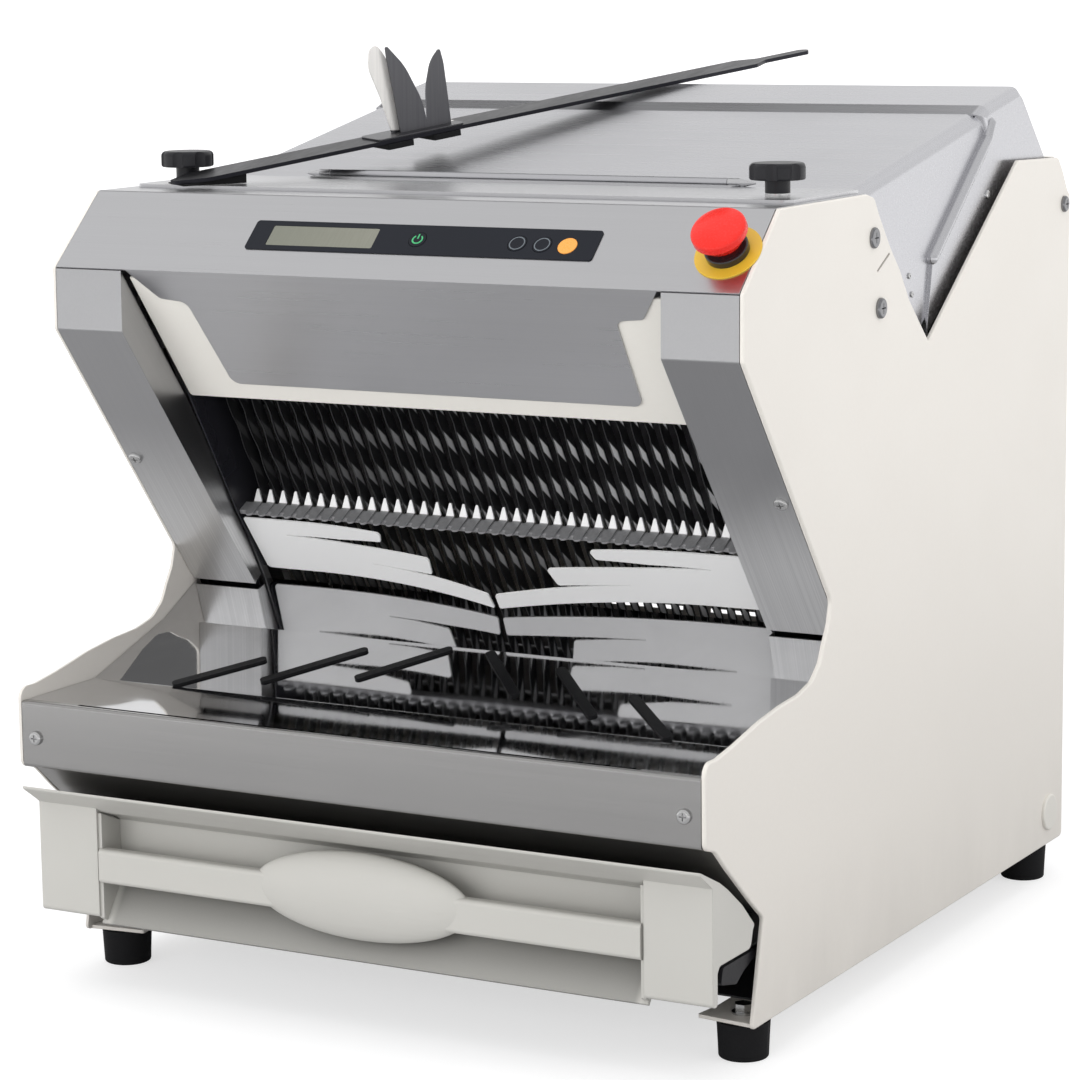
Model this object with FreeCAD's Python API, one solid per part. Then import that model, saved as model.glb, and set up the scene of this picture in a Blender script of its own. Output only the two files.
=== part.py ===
import FreeCAD, Part
import math
import os

# Counter-top bread slicer, millimetres.
# Working coordinates while building: X = 0 at the middle of the machine, Y = 0 and Z = 0 at the
# front lower corner of the side panels, +Y to the rear.  Every piece is moved to the part's own
# frame (origin under the middle of the machine, on the ground) when it is written.

# ---------------------------------------------------------------- driving dimensions
HALF_W = 320.0          # half of the overall width, outside of the side panels
T_PANEL = 3.5           # side panel, painted sheet with turned edge
T_STAINLESS = 1.5       # folded stainless covers
COVER_HALF = 315.9      # half width of the covers between the panels
FOOT_H = 32.0           # underside of the panels above the ground
FOOT_R = 21.5
FOOT_X = 297.0
Y_FRONT = -84.42        # foremost point (heads of the apron screws)
Y_REAR = 734.55         # rearmost point (tip of the bagging paddle)
PITCH = 13.0            # slice thickness
N_BLADE = 36            # blades in both frames together
BLADE_T = 0.8
BLADE_D = 12.0          # depth of a blade strip
BLADE_WAVE = 43.0       # period of the scalloped edge
STROKE = 15.0           # half of the stroke of a blade frame
LEAN = 30.0             # blades lean back from the vertical
BED_SLOPE = 34.5
TRAY_SLOPE = 17.8
LOAF_HALF = 244.0       # half width of the loaf chamber
ROD_R = 6.0             # frame guide rods
BUSH_GAP = 0.05
LID_HALF = 310.0
HINGE_Y, HINGE_Z = 225.0, 641.0
CRANK_R = 15.0
DRIVE_RATIO = 1.6
PULLEY_R, MOTOR_PULLEY_R = 40.0, 25.0
KNOB_X, KNOB_Y = 280.0, 132.0

V = FreeCAD.Vector
YC = 0.5 * (Y_FRONT + Y_REAR)
EX = V(1, 0, 0)
EY = V(0, 1, 0)
EZ = V(0, 0, 1)

os.makedirs("parts", exist_ok=True)
written = []


def write(name, shape):
    s = shape.copy()
    s.translate(V(0, -YC, FOOT_H))
    if s.isNull() or not s.isValid():
        print("CHECK shape", name, "valid", s.isValid())
    s.exportStep("parts/%s.step" % name)
    written.append(name)
    bb = s.BoundBox
    print("%-24s solids %2d vol %9.1f  x %7.1f %7.1f  y %7.1f %7.1f  z %7.1f %7.1f" % (
        name, len(s.Solids), s.Volume / 1000.0, bb.XMin, bb.XMax, bb.YMin, bb.YMax, bb.ZMin, bb.ZMax))


# ---------------------------------------------------------------- 2-D helpers
def unit(a, b):
    d = math.hypot(b[0] - a[0], b[1] - a[1])
    return ((b[0] - a[0]) / d, (b[1] - a[1]) / d)


def rounded_wire(pts, radii, o, e1, e2):
    n = len(pts)
    if not isinstance(radii, (list, tuple)):
        radii = [radii] * n

    def m3(p):
        return o + e1 * p[0] + e2 * p[1]
    starts, ends, arcs = [], [], []
    for i in range(n):
        p = pts[i]
        a = pts[i - 1]
        b = pts[(i + 1) % n]
        r = radii[i]
        u1 = unit(p, a)
        u2 = unit(p, b)
        cosang = max(-1.0, min(1.0, u1[0] * u2[0] + u1[1] * u2[1]))
        ang = math.acos(cosang)
        if r <= 0 or ang > math.pi - 0.01 or ang < 0.01:
            starts.append(p)
            ends.append(p)
            arcs.append(None)
            continue
        d = r / math.tan(ang / 2.0)
        la = math.hypot(a[0] - p[0], a[1] - p[1])
        lb = math.hypot(b[0] - p[0], b[1] - p[1])
        lim = 0.48 * min(la, lb)
        if d > lim:
            d = lim
            r = d * math.tan(ang / 2.0)
        s = (p[0] + u1[0] * d, p[1] + u1[1] * d)
        e = (p[0] + u2[0] * d, p[1] + u2[1] * d)
        bx, by = u1[0] + u2[0], u1[1] + u2[1]
        bl = math.hypot(bx, by)
        bx, by = bx / bl, by / bl
        h = r / math.sin(ang / 2.0)
        mid = (p[0] + bx * (h - r), p[1] + by * (h - r))
        starts.append(s)
        ends.append(e)
        arcs.append(mid)
    edges = []
    for i in range(n):
        if arcs[i] is not None:
            edges.append(Part.Arc(m3(starts[i]), m3(arcs[i]), m3(ends[i])).toShape())
        q = starts[(i + 1) % n]
        if math.hypot(q[0] - ends[i][0], q[1] - ends[i][1]) > 1e-6:
            edges.append(Part.LineSegment(m3(ends[i]), m3(q)).toShape())
    return Part.Wire(edges)


def plate(pts, o, e1, e2, n, t, radii=0.0, holes=()):
    f = Part.Face(rounded_wire(pts, radii, o, e1, e2))
    s = f.extrude(n * t)
    for (a, b, r) in holes:
        c = Part.makeCylinder(r, t + 4.0, o + e1 * a + e2 * b - n * 2.0, n)
        s = s.cut(c)
    return s


def prism_x(pts, x0, x1, radii=0.0):
    return plate(pts, V(x0, 0, 0), EY, EZ, EX, x1 - x0, radii)


def bent_profile(pts, t, r):
    n = len(pts)
    off, ra, rb = [], [], []
    for i in range(n):
        p = pts[i]
        if i == 0 or i == n - 1:
            u = unit(pts[0], pts[1]) if i == 0 else unit(pts[n - 2], pts[n - 1])
            off.append((p[0] - u[1] * t, p[1] + u[0] * t))
            ra.append(0.0)
            rb.append(0.0)
        else:
            u1 = unit(pts[i - 1], p)
            u2 = unit(p, pts[i + 1])
            n1 = (-u1[1], u1[0])
            n2 = (-u2[1], u2[0])
            mx, my = n1[0] + n2[0], n1[1] + n2[1]
            ml = math.hypot(mx, my)
            mx, my = mx / ml, my / ml
            k = t / (mx * n1[0] + my * n1[1])
            off.append((p[0] + mx * k, p[1] + my * k))
            turn = u1[0] * u2[1] - u1[1] * u2[0]
            if turn * t > 0:
                ra.append(r + abs(t))
                rb.append(r)
            else:
                ra.append(r)
                rb.append(r + abs(t))
    return pts + off[::-1], ra + rb[::-1]


def bent(pts, t, r, x0, x1):
    poly, radii = bent_profile(pts, t, r)
    return prism_x(poly, x0, x1, radii)


def box(x0, x1, y0, y1, z0, z1):
    return Part.makeBox(x1 - x0, y1 - y0, z1 - z0, V(x0, y0, z0))


def cyl(p, axis, r, h):
    return Part.makeCylinder(r, h, p, axis)


def both(s):
    return Part.makeCompound([s.copy(), mirrored(s)])


def mirrored(s):
    return s.mirror(V(0, 0, 0), EX)


def fuse(lst):
    s = lst[0]
    if len(lst) > 1:
        s = s.multiFuse(lst[1:])
    return s.removeSplitter()


def group(lst):
    out = []
    for s in lst:
        out += s.Solids
    return Part.makeCompound(out)


def fillet(s, r, test):
    es = [e for e in s.Edges if test(e)]
    try:
        f = s.makeFillet(r, es)
        if f.isValid() and f.Volume > 0:
            return f
    except Exception:
        pass
    print("fillet skipped", r, len(es))
    return s


def pan_screw(p, axis, rh, hh, rs, ls):
    """Domed head standing on point p along axis, cross recess, shank going the other way."""
    a = V(axis)
    a.normalize()
    head = cyl(p, a, rh, hh)
    top = p + a * hh
    head = fillet(head, hh * 0.62, lambda e: abs((e.CenterOfMass - top).dot(a)) < 1e-3)
    ref = EX if abs(a.x) < 0.9 else EY
    u = a.cross(ref)
    u.normalize()
    w = a.cross(u)
    for d, q in ((u, w), (w, u)):
        c = Part.Face(Part.makePolygon([top + d * (-rh * 0.5) + q * 0.5 + a * 0.2, top + d * (rh * 0.5) + q * 0.5 + a * 0.2,
                                        top + d * (rh * 0.5) - q * 0.5 + a * 0.2, top + d * (-rh * 0.5) - q * 0.5 + a * 0.2,
                                        top + d * (-rh * 0.5) + q * 0.5 + a * 0.2])).extrude(a * (-hh * 0.55 - 0.2))
        head = head.cut(c)
    shank = cyl(p - a * ls, a, rs, ls + 0.2)
    return fuse([head, shank])


# ---------------------------------------------------------------- directions and local frames
ED = V(0, 0.6124, -0.7906)       # down along the pillars
EN = V(0, 0.7906, 0.6124)        # into the machine, square to the pillars
OP = V(0, -13.0, 523.5)          # fold at the top of the pillars
CB = V(0, math.sin(math.radians(LEAN)), -math.cos(math.radians(LEAN)))   # down along a blade
CM = V(0, math.cos(math.radians(LEAN)), math.sin(math.radians(LEAN)))    # square to the blade plane
B0 = V(0, 168.0, 355.0)          # blade plane at the level of the bed
FACE0 = V(0, 52.0, 635.0)        # top edge of the control face
FD = V(0, -64.5, -59.4)          # down along the control face
FD.normalize()
FN = V(0, FD.z, -FD.y)           # out of the control face
BD = V(0, math.cos(math.radians(BED_SLOPE)), math.sin(math.radians(BED_SLOPE)))   # up the bed
BN = V(0, -math.sin(math.radians(BED_SLOPE)), math.cos(math.radians(BED_SLOPE)))  # square to the bed
BED0 = V(0, 178.4, 361.0)
TD = V(0, math.cos(math.radians(TRAY_SLOPE)), math.sin(math.radians(TRAY_SLOPE)))
TN = V(0, -math.sin(math.radians(TRAY_SLOPE)), math.cos(math.radians(TRAY_SLOPE)))
TRAY0 = V(0, 22.0, 218.5)
TRAY_BEND_Q = 110.4              # the tray turns steeper here, towards the blades
TRAY_REAR_SLOPE = 27.5


def pk(s, k):
    p = OP + ED * s + EN * k
    return (p.y, p.z)


def ptm(t, m):
    p = B0 + CB * t + CM * m
    return (p.y, p.z)


def pbed(q, h):
    p = BED0 + BD * q + BN * h
    return (p.y, p.z)


# ---------------------------------------------------------------- side panels
OUTLINE = [(52.0, 634.6), (-12.4, 575.2), (-13, 523.5), (148.5, 315), (143, 296), (134, 282), (127, 268.5),
           (111, 256), (87, 250.5), (52, 248), (14, 243), (-31, 234), (-60, 229.5), (-81, 229.5), (-81, 163),
           (-64, 158), (-43.5, 139), (-1.4, 103), (20, 86), (0, 0), (678, 0), (678, 605), (672, 609.5), (659, 628),
           (648, 640), (548, 643), (345.3, 503.6), (304, 542), (282.7, 570), (268, 584.5), (262, 591), (241, 616.5),
           (231, 631), (217, 634.6)]
OUT_R = [4, 4, 5, 9, 20, 20, 20, 20, 30, 30, 30, 20, 10, 11, 8, 12, 20, 20, 6, 4, 6, 4, 10, 10, 8, 6, 3, 12, 12, 8, 8, 14, 7, 6]


def side_panel():
    s = prism_x(OUTLINE, HALF_W - T_PANEL, HALF_W, OUT_R)
    s = fillet(s, 1.6, lambda e: abs(e.BoundBox.XMin - HALF_W) < 1e-4 and abs(e.BoundBox.XMax - HALF_W) < 1e-4)
    # inward flange along the bottom, pointed at the front
    fl = plate([(HALF_W - T_PANEL + 0.6, 6), (266, 12), (270, 40), (270, 660), (284, 671), (HALF_W - T_PANEL + 0.6, 671)],
               V(0, 0, 0), EX, EY, EZ, 3.0, [0, 2, 2, 2, 2, 0], [(FOOT_X, 31, 4.1), (FOOT_X, 636, 4.1)])
    s = s.fuse(fl)
    # narrow stiffening return along the rear edge
    s = s.fuse(box(HALF_W - 18.0, HALF_W - T_PANEL + 0.5, 675.0, 677.6, 3.0, 598.0))
    for (y, z, r) in ((229, 599, 3.1), (242, 541, 3.1), (662, 597, 3.1), (641, 31, 9.1)):
        s = s.cut(cyl(V(HALF_W - 40, y, z), EX, r, 60))
    # tension slot of the belt side
    s = s.cut(plate([(235.5, 572), (237.5, 570.6), (262, 583.2), (260, 584.8)], V(HALF_W - 10, 0, 0), EY, EZ, EX, 20, 0.6))
    return s.removeSplitter()


panel_r = side_panel()
write("side_panel_right", panel_r)
write("side_panel_left", mirrored(panel_r))

# ---------------------------------------------------------------- top cover: ledge, control face, central tongue
cov = bent([(222.0, 635.0), (52.0, 635.0), (-12.5, 575.6)], T_STAINLESS, 2.0, -COVER_HALF, COVER_HALF)
S_TOP = -40.9
tongue = plate([(-247, S_TOP), (247, S_TOP), (225, -9), (200, -6), (194, 87), (-194, 87), (-200, -6), (-225, -9)],
               OP + EN * 32.3, EX, ED, EN, T_STAINLESS, [0, 0, 6, 9, 9, 9, 9, 6])
cov = cov.fuse(tongue)
KP_X0, KP_X1, KP_U0, KP_U1 = -140.5, 180.0, 29.3, 60.7
cov = cov.cut(plate([(KP_X0 + 2, KP_U0 + 2), (KP_X1 - 2, KP_U0 + 2), (KP_X1 - 2, KP_U1 - 2), (KP_X0 + 2, KP_U1 - 2)],
                    FACE0 - FN * 6, EX, FD, FN, 12.0))
ES_X, ES_U = 292.5, 47.0
ES_C = FACE0 + FD * ES_U + EX * ES_X
cov = cov.cut(cyl(ES_C - FN * 8, FN, 15.2, 16))
for sx in (-1, 1):
    cov = cov.cut(cyl(V(sx * KNOB_X, KNOB_Y, 620), EZ, 4.1, 30))
write("top_cover", cov.removeSplitter())

# ---------------------------------------------------------------- pillars
def pillar():
    s = bent([(-12.5, 574.2), (-13.0, 523.5), pk(307, 0)], T_STAINLESS, 2.0, 250.0, COVER_HALF)
    fl = prism_x([(-11.5, 573.8), (-12.0, 523.8), pk(306.5, 0.5), pk(306.5, 12), pk(150, 31), pk(0, 31.5), pk(-32, 31.5)], 250.0, 251.5)
    s = s.fuse(fl)
    y, z = pk(152.4, 0)
    s = s.cut(cyl(V(307, y, z) - EN * 6, EN, 3.1, 12))
    return s.removeSplitter()


pil = pillar()
write("pillar_right", pil)
write("pillar_left", mirrored(pil))

# ---------------------------------------------------------------- cream hood behind the tongue, lower edge turned in
hood = plate([(-246.7, -30), (246.7, -30), (246.7, 106), (-246.7, 106)], OP + EN * 34.0, EX, ED, EN, 2.0, [0, 0, 3, 3])
hem = plate([(-246, 34.5), (246, 34.5), (246, 44), (-246, 44)], OP + ED * 104.0, EX, EN, ED, 2.0)
write("bread_hood", fuse([hood, hem]))

# ---------------------------------------------------------------- hinge plate clamped by the two knobs
FP_Z = 635.0
tp = plate([(-303, 93), (303, 93), (309, 100), (309, 224), (-309, 224), (-309, 100)],
           V(0, 0, FP_Z), EX, EY, EZ, 3.0, [3, 3, 3, 2, 2, 3],
           [(KNOB_X, KNOB_Y, 4.1), (-KNOB_X, KNOB_Y, 4.1)])
tp = tp.cut(box(-204.2, 204.2, 220.3, 230.0, FP_Z - 1, FP_Z + 5))
knuckles, lid_knuckles = [], []
KN_R, PIN_R = 4.0, 2.0
KN_X0, KN_X1 = 192.5, 203.0      # fixed knuckle at each end, the lid's rolled edge between them
for sx in (-1, 1):
    x0, x1 = sorted((sx * KN_X0, sx * KN_X1))
    c = cyl(V(x0, HINGE_Y, HINGE_Z), EX, KN_R, x1 - x0)
    nose = Part.makeCone(KN_R, 0.8, 14.0, V(sx * KN_X1, HINGE_Y, HINGE_Z), EX * sx)
    leaf = box(x0, x1, 212.0, HINGE_Y, HINGE_Z - 4.0, HINGE_Z - 2.4)
    bore = cyl(V(min(sx * (KN_X0 - 1), sx * (KN_X1 + 2)), HINGE_Y, HINGE_Z), EX, PIN_R + 0.05, KN_X1 - KN_X0 + 3)
    knuckles.append(fuse([c, nose, leaf]).cut(bore))
c = cyl(V(-KN_X0 + 0.4, HINGE_Y, HINGE_Z), EX, KN_R, 2 * KN_X0 - 0.8)
leaf = box(-KN_X0 + 0.4, KN_X0 - 0.4, HINGE_Y, 246.0, HINGE_Z - 1.2, HINGE_Z + 0.4)
bore = cyl(V(-KN_X0, HINGE_Y, HINGE_Z), EX, PIN_R + 0.05, 2 * KN_X0)
lid_knuckles.append(c.fuse(leaf).cut(bore))
# the fixed leaf rests on the plate
fixed_leaf = box(-203, 203, 207.0, 219.0, FP_Z + 2.5, FP_Z + 4.6)
top_plate = fuse([tp, fixed_leaf] + knuckles)
write("top_front_plate", top_plate)
write("hinge_pin", cyl(V(-204.5, HINGE_Y, HINGE_Z), EX, PIN_R, 409.0))

# ---------------------------------------------------------------- lid
LID_SL = math.radians(10.8)
LD = V(0, math.cos(LID_SL), math.sin(LID_SL))
LN = V(0, -math.sin(LID_SL), math.cos(LID_SL))
L0 = V(0, HINGE_Y, 637.0)


def plid(q, h):
    p = L0 + LD * q + LN * h
    return (p.y, p.z)


def shell(profile, inner, half, t, r):
    s = prism_x(profile, -half, half)
    s = fillet(s, r, lambda e: abs(abs(e.CenterOfMass.x) - half) < 1e-3 and e.CenterOfMass.z > 634.0 and e.BoundBox.YLength > 20)
    c = prism_x(inner, -(half - t), half - t)
    c = fillet(c, r - t, lambda e: abs(abs(e.CenterOfMass.x) - (half - t)) < 1e-3 and e.CenterOfMass.z > 632.0 and e.BoundBox.YLength > 20)
    return s.cut(c)


V_TIP = (352.0, 510.0)
front_out = [plid(1.0, 0), plid(305, 0), (548, 650.0), V_TIP, (336, 501), (285, 548), (262, 572), (243, 592), (226.2, 612)]
front_in = [plid(0, -1.6), plid(310, -1.6), (560, 650.0), (560, 440), (0, 440), (200, 600)]
lid_a = shell(front_out, front_in, LID_HALF - 3.0, 1.6, 11.0)
rear_out = [plid(262, 0), plid(281, 3.5), plid(356, 3.0), (588, 698.5), (643.4, 643.9), (643.4, 632.0), (558.2, 632.0), (364.1, 506.7), (376.8, 569.6), (499.9, 663.9)]
rear_in = [plid(235, -1.6), plid(263.2, -1.6), plid(281.6, 1.9), plid(355, 1.4), (587, 696.5), (641.6, 643.2), (641.6, 440), (320, 440), (350, 575), (460, 672)]
lid_b = prism_x(rear_out, -LID_HALF, LID_HALF)
lid_b = fillet(lid_b, 9.0, lambda e: abs(abs(e.CenterOfMass.x) - LID_HALF) < 1e-3 and e.CenterOfMass.z > 664 and e.BoundBox.YLength > 3 and e.CenterOfMass.y > 470)
rear_core = prism_x(rear_in, -(LID_HALF - 1.6), LID_HALF - 1.6)
# the rounded corner is thicker than the sheet: weld fillet on its inside
corner = prism_x([plid(261, 1), plid(281, 4.5), plid(356, 4.5), (590, 700), (646, 645), (636, 645), (583, 692), plid(353, -3.5), plid(281, -3.2), plid(261, -6.7)],
                 LID_HALF - 6.5, LID_HALF + 1)
# the front edge of the rear cover is turned in onto the flank of the front one
turned = prism_x([(363.0, 505.98), (375.9, 570.2), (499.7, 665.1), plid(260, 0.4), plid(271, 3.0), (509.0, 658.5), (384.5, 562.5), (371.4, 511.4)],
                 LID_HALF - 4.8, LID_HALF + 1)
corner = [q.common(lid_b) for q in (corner, mirrored(corner), turned, mirrored(turned))]
lid_b = lid_b.cut(rear_core).fuse(corner)


def flank_bead():
    """Pressed stiffening bead on the flank, round in section and at its lower end, turning up into the step."""
    pts = [V(LID_HALF - 1.5, 377.5, 570.2), V(LID_HALF - 1.5, 499.9, 663.9), V(LID_HALF - 1.5, 508.0, 677.0)]
    s = Part.makeSphere(5.5, pts[0])
    for a, b in zip(pts[:-1], pts[1:]):
        d = b - a
        s = s.fuse([Part.makeCylinder(5.5, d.Length, a, d), Part.makeSphere(5.5, b)])
    return s.common(box(LID_HALF - 4.2, LID_HALF + 6.0, 340.0, 560.0, 520.0, 700.0))


bead = flank_bead()
clear = [cyl(V(min(sx * (KN_X0 - 0.4), sx * 218.0), HINGE_Y, HINGE_Z), EX, KN_R + 0.4, 218.0 - KN_X0 + 0.4) for sx in (-1, 1)]
lid_a = lid_a.cut(Part.makeCompound(clear))
lid = fuse([lid_a, lid_b, bead, mirrored(bead)] + lid_knuckles)
lid = lid.cut(fuse([cyl(V(-300, HINGE_Y, HINGE_Z), EX, PIN_R + 0.05, 600)]))
LID_SCREWS = ((498, 616), (332, 559), (338, 543))
for (y, z) in LID_SCREWS:
    lid = lid.cut(cyl(V(-330, y, z), EX, 1.25, 660))
big = max(lid.Solids, key=lambda q: q.Volume)
print("lid solids", len(lid.Solids), [round(q.Volume) for q in lid.Solids])
write("lid", big)

# black edge trims under the flanks
def seal():
    a, b = (364.1, 506.7), (558.2, 632.0)
    u = unit(a, b)
    n = (-u[1], u[0])
    return prism_x([(a[0] + n[0] * 4 + u[0] * 16, a[1] + n[1] * 4 + u[1] * 16), (b[0] + n[0] * 4, b[1] + n[1] * 4),
                    (b[0] - n[0] * 7, b[1] - n[1] * 7), (a[0] - n[0] * 7 + u[0] * 11, a[1] - n[1] * 7 + u[1] * 11)], LID_HALF - 5.6, LID_HALF - 1.6)


write("lid_seals", both(seal()))
lid_scr = []
for (y, z) in LID_SCREWS:
    xo = LID_HALF - 3.0 if y < 400 else LID_HALF
    lid_scr.append(pan_screw(V(xo, y, z), EX, 4.0 if y > 400 else 2.6, 2.2 if y > 400 else 1.4, 1.2, 1.0))
write("lid_screws", group([s for s in lid_scr] + [mirrored(s) for s in lid_scr]))

# ---------------------------------------------------------------- knobs
studs = []
washers = []
for sx in (-1, 1):
    st = fuse([cyl(V(sx * KNOB_X, KNOB_Y, 618), EZ, 4.0, 38.0), cyl(V(sx * KNOB_X, KNOB_Y, 626.5), EZ, 10.0, 7.0)])
    studs.append(st)
    w = cyl(V(sx * KNOB_X, KNOB_Y, 638.0), EZ, 10.0, 2.6).cut(cyl(V(sx * KNOB_X, KNOB_Y, 637), EZ, 4.05, 5))
    washers.append(w)
write("knob_studs", group(studs + washers))


def knob():
    head = cyl(V(0, 0, 651), EZ, 22.5, 13.5)
    head = fillet(head, 4.0, lambda e: abs(e.CenterOfMass.z - 664.5) < 1e-3)
    head = fillet(head, 2.0, lambda e: abs(e.CenterOfMass.z - 651) < 1e-3)
    for i in range(7):
        a = 2 * math.pi * (i + 0.5) / 7
        head = head.cut(cyl(V(27.2 * math.cos(a), 27.2 * math.sin(a), 640), EZ, 7.2, 40))
    stem = cyl(V(0, 0, 640.9), EZ, 10.0, 10.6)
    s = fuse([head, stem])
    return s.cut(cyl(V(0, 0, 630), EZ, 4.05, 27.0))


for sx, nm in ((-1, "knob_left"), (1, "knob_right")):
    k = knob()
    k.translate(V(sx * KNOB_X, KNOB_Y, 0))
    write(nm, k)

# ---------------------------------------------------------------- keypad
KEYS = [("power_key", 18.0, 45.0, 7.6), ("select_key_left", 109.0, 45.6, 8.0), ("select_key_right", 131.5, 46.0, 8.0), ("start_key", 154.0, 46.4, 8.2)]
kp = plate([(KP_X0, KP_U0), (KP_X1, KP_U0), (KP_X1, KP_U1), (KP_X0, KP_U1)], FACE0 + FN * 0.0, EX, FD, FN, 0.9, 3.0)
kp_back = plate([(KP_X0 + 2.4, KP_U0 + 2.4), (KP_X1 - 2.4, KP_U0 + 2.4), (KP_X1 - 2.4, KP_U1 - 2.4), (KP_X0 + 2.4, KP_U1 - 2.4)],
                FACE0 - FN * 3.6, EX, FD, FN, 3.7)
kp = kp.fuse(kp_back)
for nm, x, u, r in KEYS:
    kp = kp.cut(cyl(FACE0 + EX * x + FD * u - FN * 2.4, FN, r + 0.35, 6.0))
kp = kp.cut(plate([(-122, 34.5), (-21, 34.5), (-21, 56), (-122, 56)], FACE0 - FN * 0.4, EX, FD, FN, 4.0, 1.5))
write("keypad", kp.removeSplitter())
write("display_window", plate([(-121.8, 34.7), (-21.2, 34.7), (-21.2, 55.8), (-121.8, 55.8)], FACE0 - FN * 0.4, EX, FD, FN, 1.1, 1.4))
for nm, x, u, r in KEYS:
    c0 = FACE0 + EX * x + FD * u - FN * 1.6
    k = cyl(c0, FN, r, 2.9)
    top = c0 + FN * 2.9
    k = fillet(k, 0.5, lambda e, top=top: abs((e.CenterOfMass - top).dot(FN)) < 1e-3)
    write(nm, k)

# ---------------------------------------------------------------- emergency stop
disc = cyl(ES_C, FN, 27.0, 1.2).cut(cyl(ES_C - FN, FN, 15.2, 5))
disc = fillet(disc, 0.4, lambda e: abs((e.CenterOfMass - ES_C - FN * 1.2).dot(FN)) < 1e-3 and e.Length > 120)
write("estop_plate", disc)
col = fuse([cyl(ES_C + FN * 1.2, FN, 17.5, 6.0), cyl(ES_C - FN * 14, FN, 15.0, 15.5), cyl(ES_C - FN * 28, FN, 13.0, 14.5)])
col = fillet(col, 1.2, lambda e: abs((e.CenterOfMass - ES_C - FN * 7.2).dot(FN)) < 1e-3 and e.Length > 100)
col = col.cut(cyl(ES_C - FN * 12, FN, 9.05, 30))
write("estop_collar", col)
cap_stem = cyl(ES_C - FN * 6.0, FN, 9.0, 21)
cap_head = Part.makeCone(15.5, 22.0, 8.5, ES_C + FN * 12.5, FN)
cap_head = cap_head.fuse(cyl(ES_C + FN * 21.0, FN, 22.0, 4.5))
dome = Part.makeSphere(51.5, ES_C - FN * 19.3).common(cyl(ES_C + FN * 25.0, FN, 22.0, 12.0))
cap_head = cap_head.fuse(dome).removeSplitter()
cap_head = fillet(cap_head, 3.0, lambda e: e.Length > 130 and (e.CenterOfMass - ES_C).dot(FN) > 24.0)
write("estop_cap", fuse([cap_head, cap_stem]))

# ---------------------------------------------------------------- tray with rubber strips, apron
tb = TRAY0 + TD * TRAY_BEND_Q
te = tb + V(0, math.cos(math.radians(TRAY_REAR_SLOPE)), math.sin(math.radians(TRAY_REAR_SLOPE))) * 69.2
tray = bent([(te.y, te.z), (tb.y, tb.z), (22.0, 218.5), (-72.5, 218.5)], T_STAINLESS, 3.0, -COVER_HALF, COVER_HALF)
for sx in (-1, 1):
    x0, x1 = sorted((sx * 249.5, sx * 330.0))
    tray = tray.cut(box(x0, x1, 181.0, 200.0, 240.0, 320.0))
write("tray", tray)
strips = []
for (xa, qa, xb, qb) in ((233.0, 5.0, 179.0, 56.0), (156.0, 25.0, 96.0, 88.0), (74.0, 45.0, 21.0, 103.0)):
    for sx in (-1, 1):
        a = (sx * xa, qa)
        b = (sx * xb, qb)
        u = unit(a, b)
        n = (-u[1] * 4.4, u[0] * 4.4)
        e = (u[0] * 4.4, u[1] * 4.4)
        pts = [(a[0] - e[0] + n[0], a[1] - e[1] + n[1]), (a[0] - e[0] - n[0], a[1] - e[1] - n[1]),
               (b[0] + e[0] - n[0], b[1] + e[1] - n[1]), (b[0] + e[0] + n[0], b[1] + e[1] + n[1])]
        s = plate(pts, TRAY0 + TN * 0.0, EX, TD, TN, 1.8, 3.9)
        strips.append(s)
write("tray_strips", group(strips))
ap = bent([(-76.0, 218.5), (-81.0, 218.5), (-81.0, 163.0), (-64.0, 158.3), (-43.0, 139.3), (-0.6, 103.3), (16.0, 89.5)], T_STAINLESS, 1.6, -COVER_HALF, COVER_HALF)
ear = fuse([box(262.0, COVER_HALF, -79.0, -72.6, 217.0, 218.5)])
ap = ap.fuse(ear).fuse(mirrored(ear))
for sx in (-1, 1):
    ap = ap.cut(cyl(V(sx * 302, -90, 188), EY, 3.1, 20))
write("apron", ap.removeSplitter())

# ---------------------------------------------------------------- crumb drawer
def drawer_front():
    wing = [(-84.0, 146.5), (-67, 138.5), (-50, 130.5), (-36, 122), (-10, 103), (11.5, 82.5), (8.5, 78.5), (-13, 98.5), (-38.5, 117),
            (-57, 124.5), (-66, 131.5), (-83, 143.5)]
    parts = [prism_x(wing, -316.0, 316.0, [1, 3, 3, 3, 6, 2, 1, 3, 3, 3, 3, 1])]
    blk = prism_x([(-62, 130), (-57, 126), (-38, 117.5), (-12, 98.8), (8.8, 79.2), (4.5, 65), (-50, 65), (-54, 60), (-54, 34), (-62, 34)], 257.0, 316.0,
                  [0, 0, 3, 3, 4, 6, 5, 5, 3, 5])
    parts += [blk, mirrored(blk)]
    rec = bent([(-30.5, 115.0), (-30.5, 62.0), (-55.0, 27.0)], -3.0, 3.0, -258.0, 258.0)
    parts.append(rec)
    sidew = prism_x([(-60.0, 124.0), (-31.0, 112.0), (-31.0, 62.0), (-53.5, 29.5), (-60, 34)], 253.5, 258.0)
    parts += [sidew, mirrored(sidew)]
    b = box(-255, 255, -64.0, -55.0, 64.5, 94.0)
    b = fillet(b, 4.0, lambda e: abs(e.CenterOfMass.y + 64.0) < 1e-3 and e.Length > 300)
    # swelling in the middle for the hand
    m = FreeCAD.Matrix()
    m.scale(102.0, 13.5, 36.5)
    ball = Part.makeSphere(1.0).transformGeometry(m)
    ball.translate(V(0, -58.0, 83.0))
    ball = ball.common(box(-110, 110, -80.0, -55.0, 40.0, 125.0))
    b = b.fuse(ball)
    parts.append(b)
    s = fuse(parts)
    return s


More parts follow.
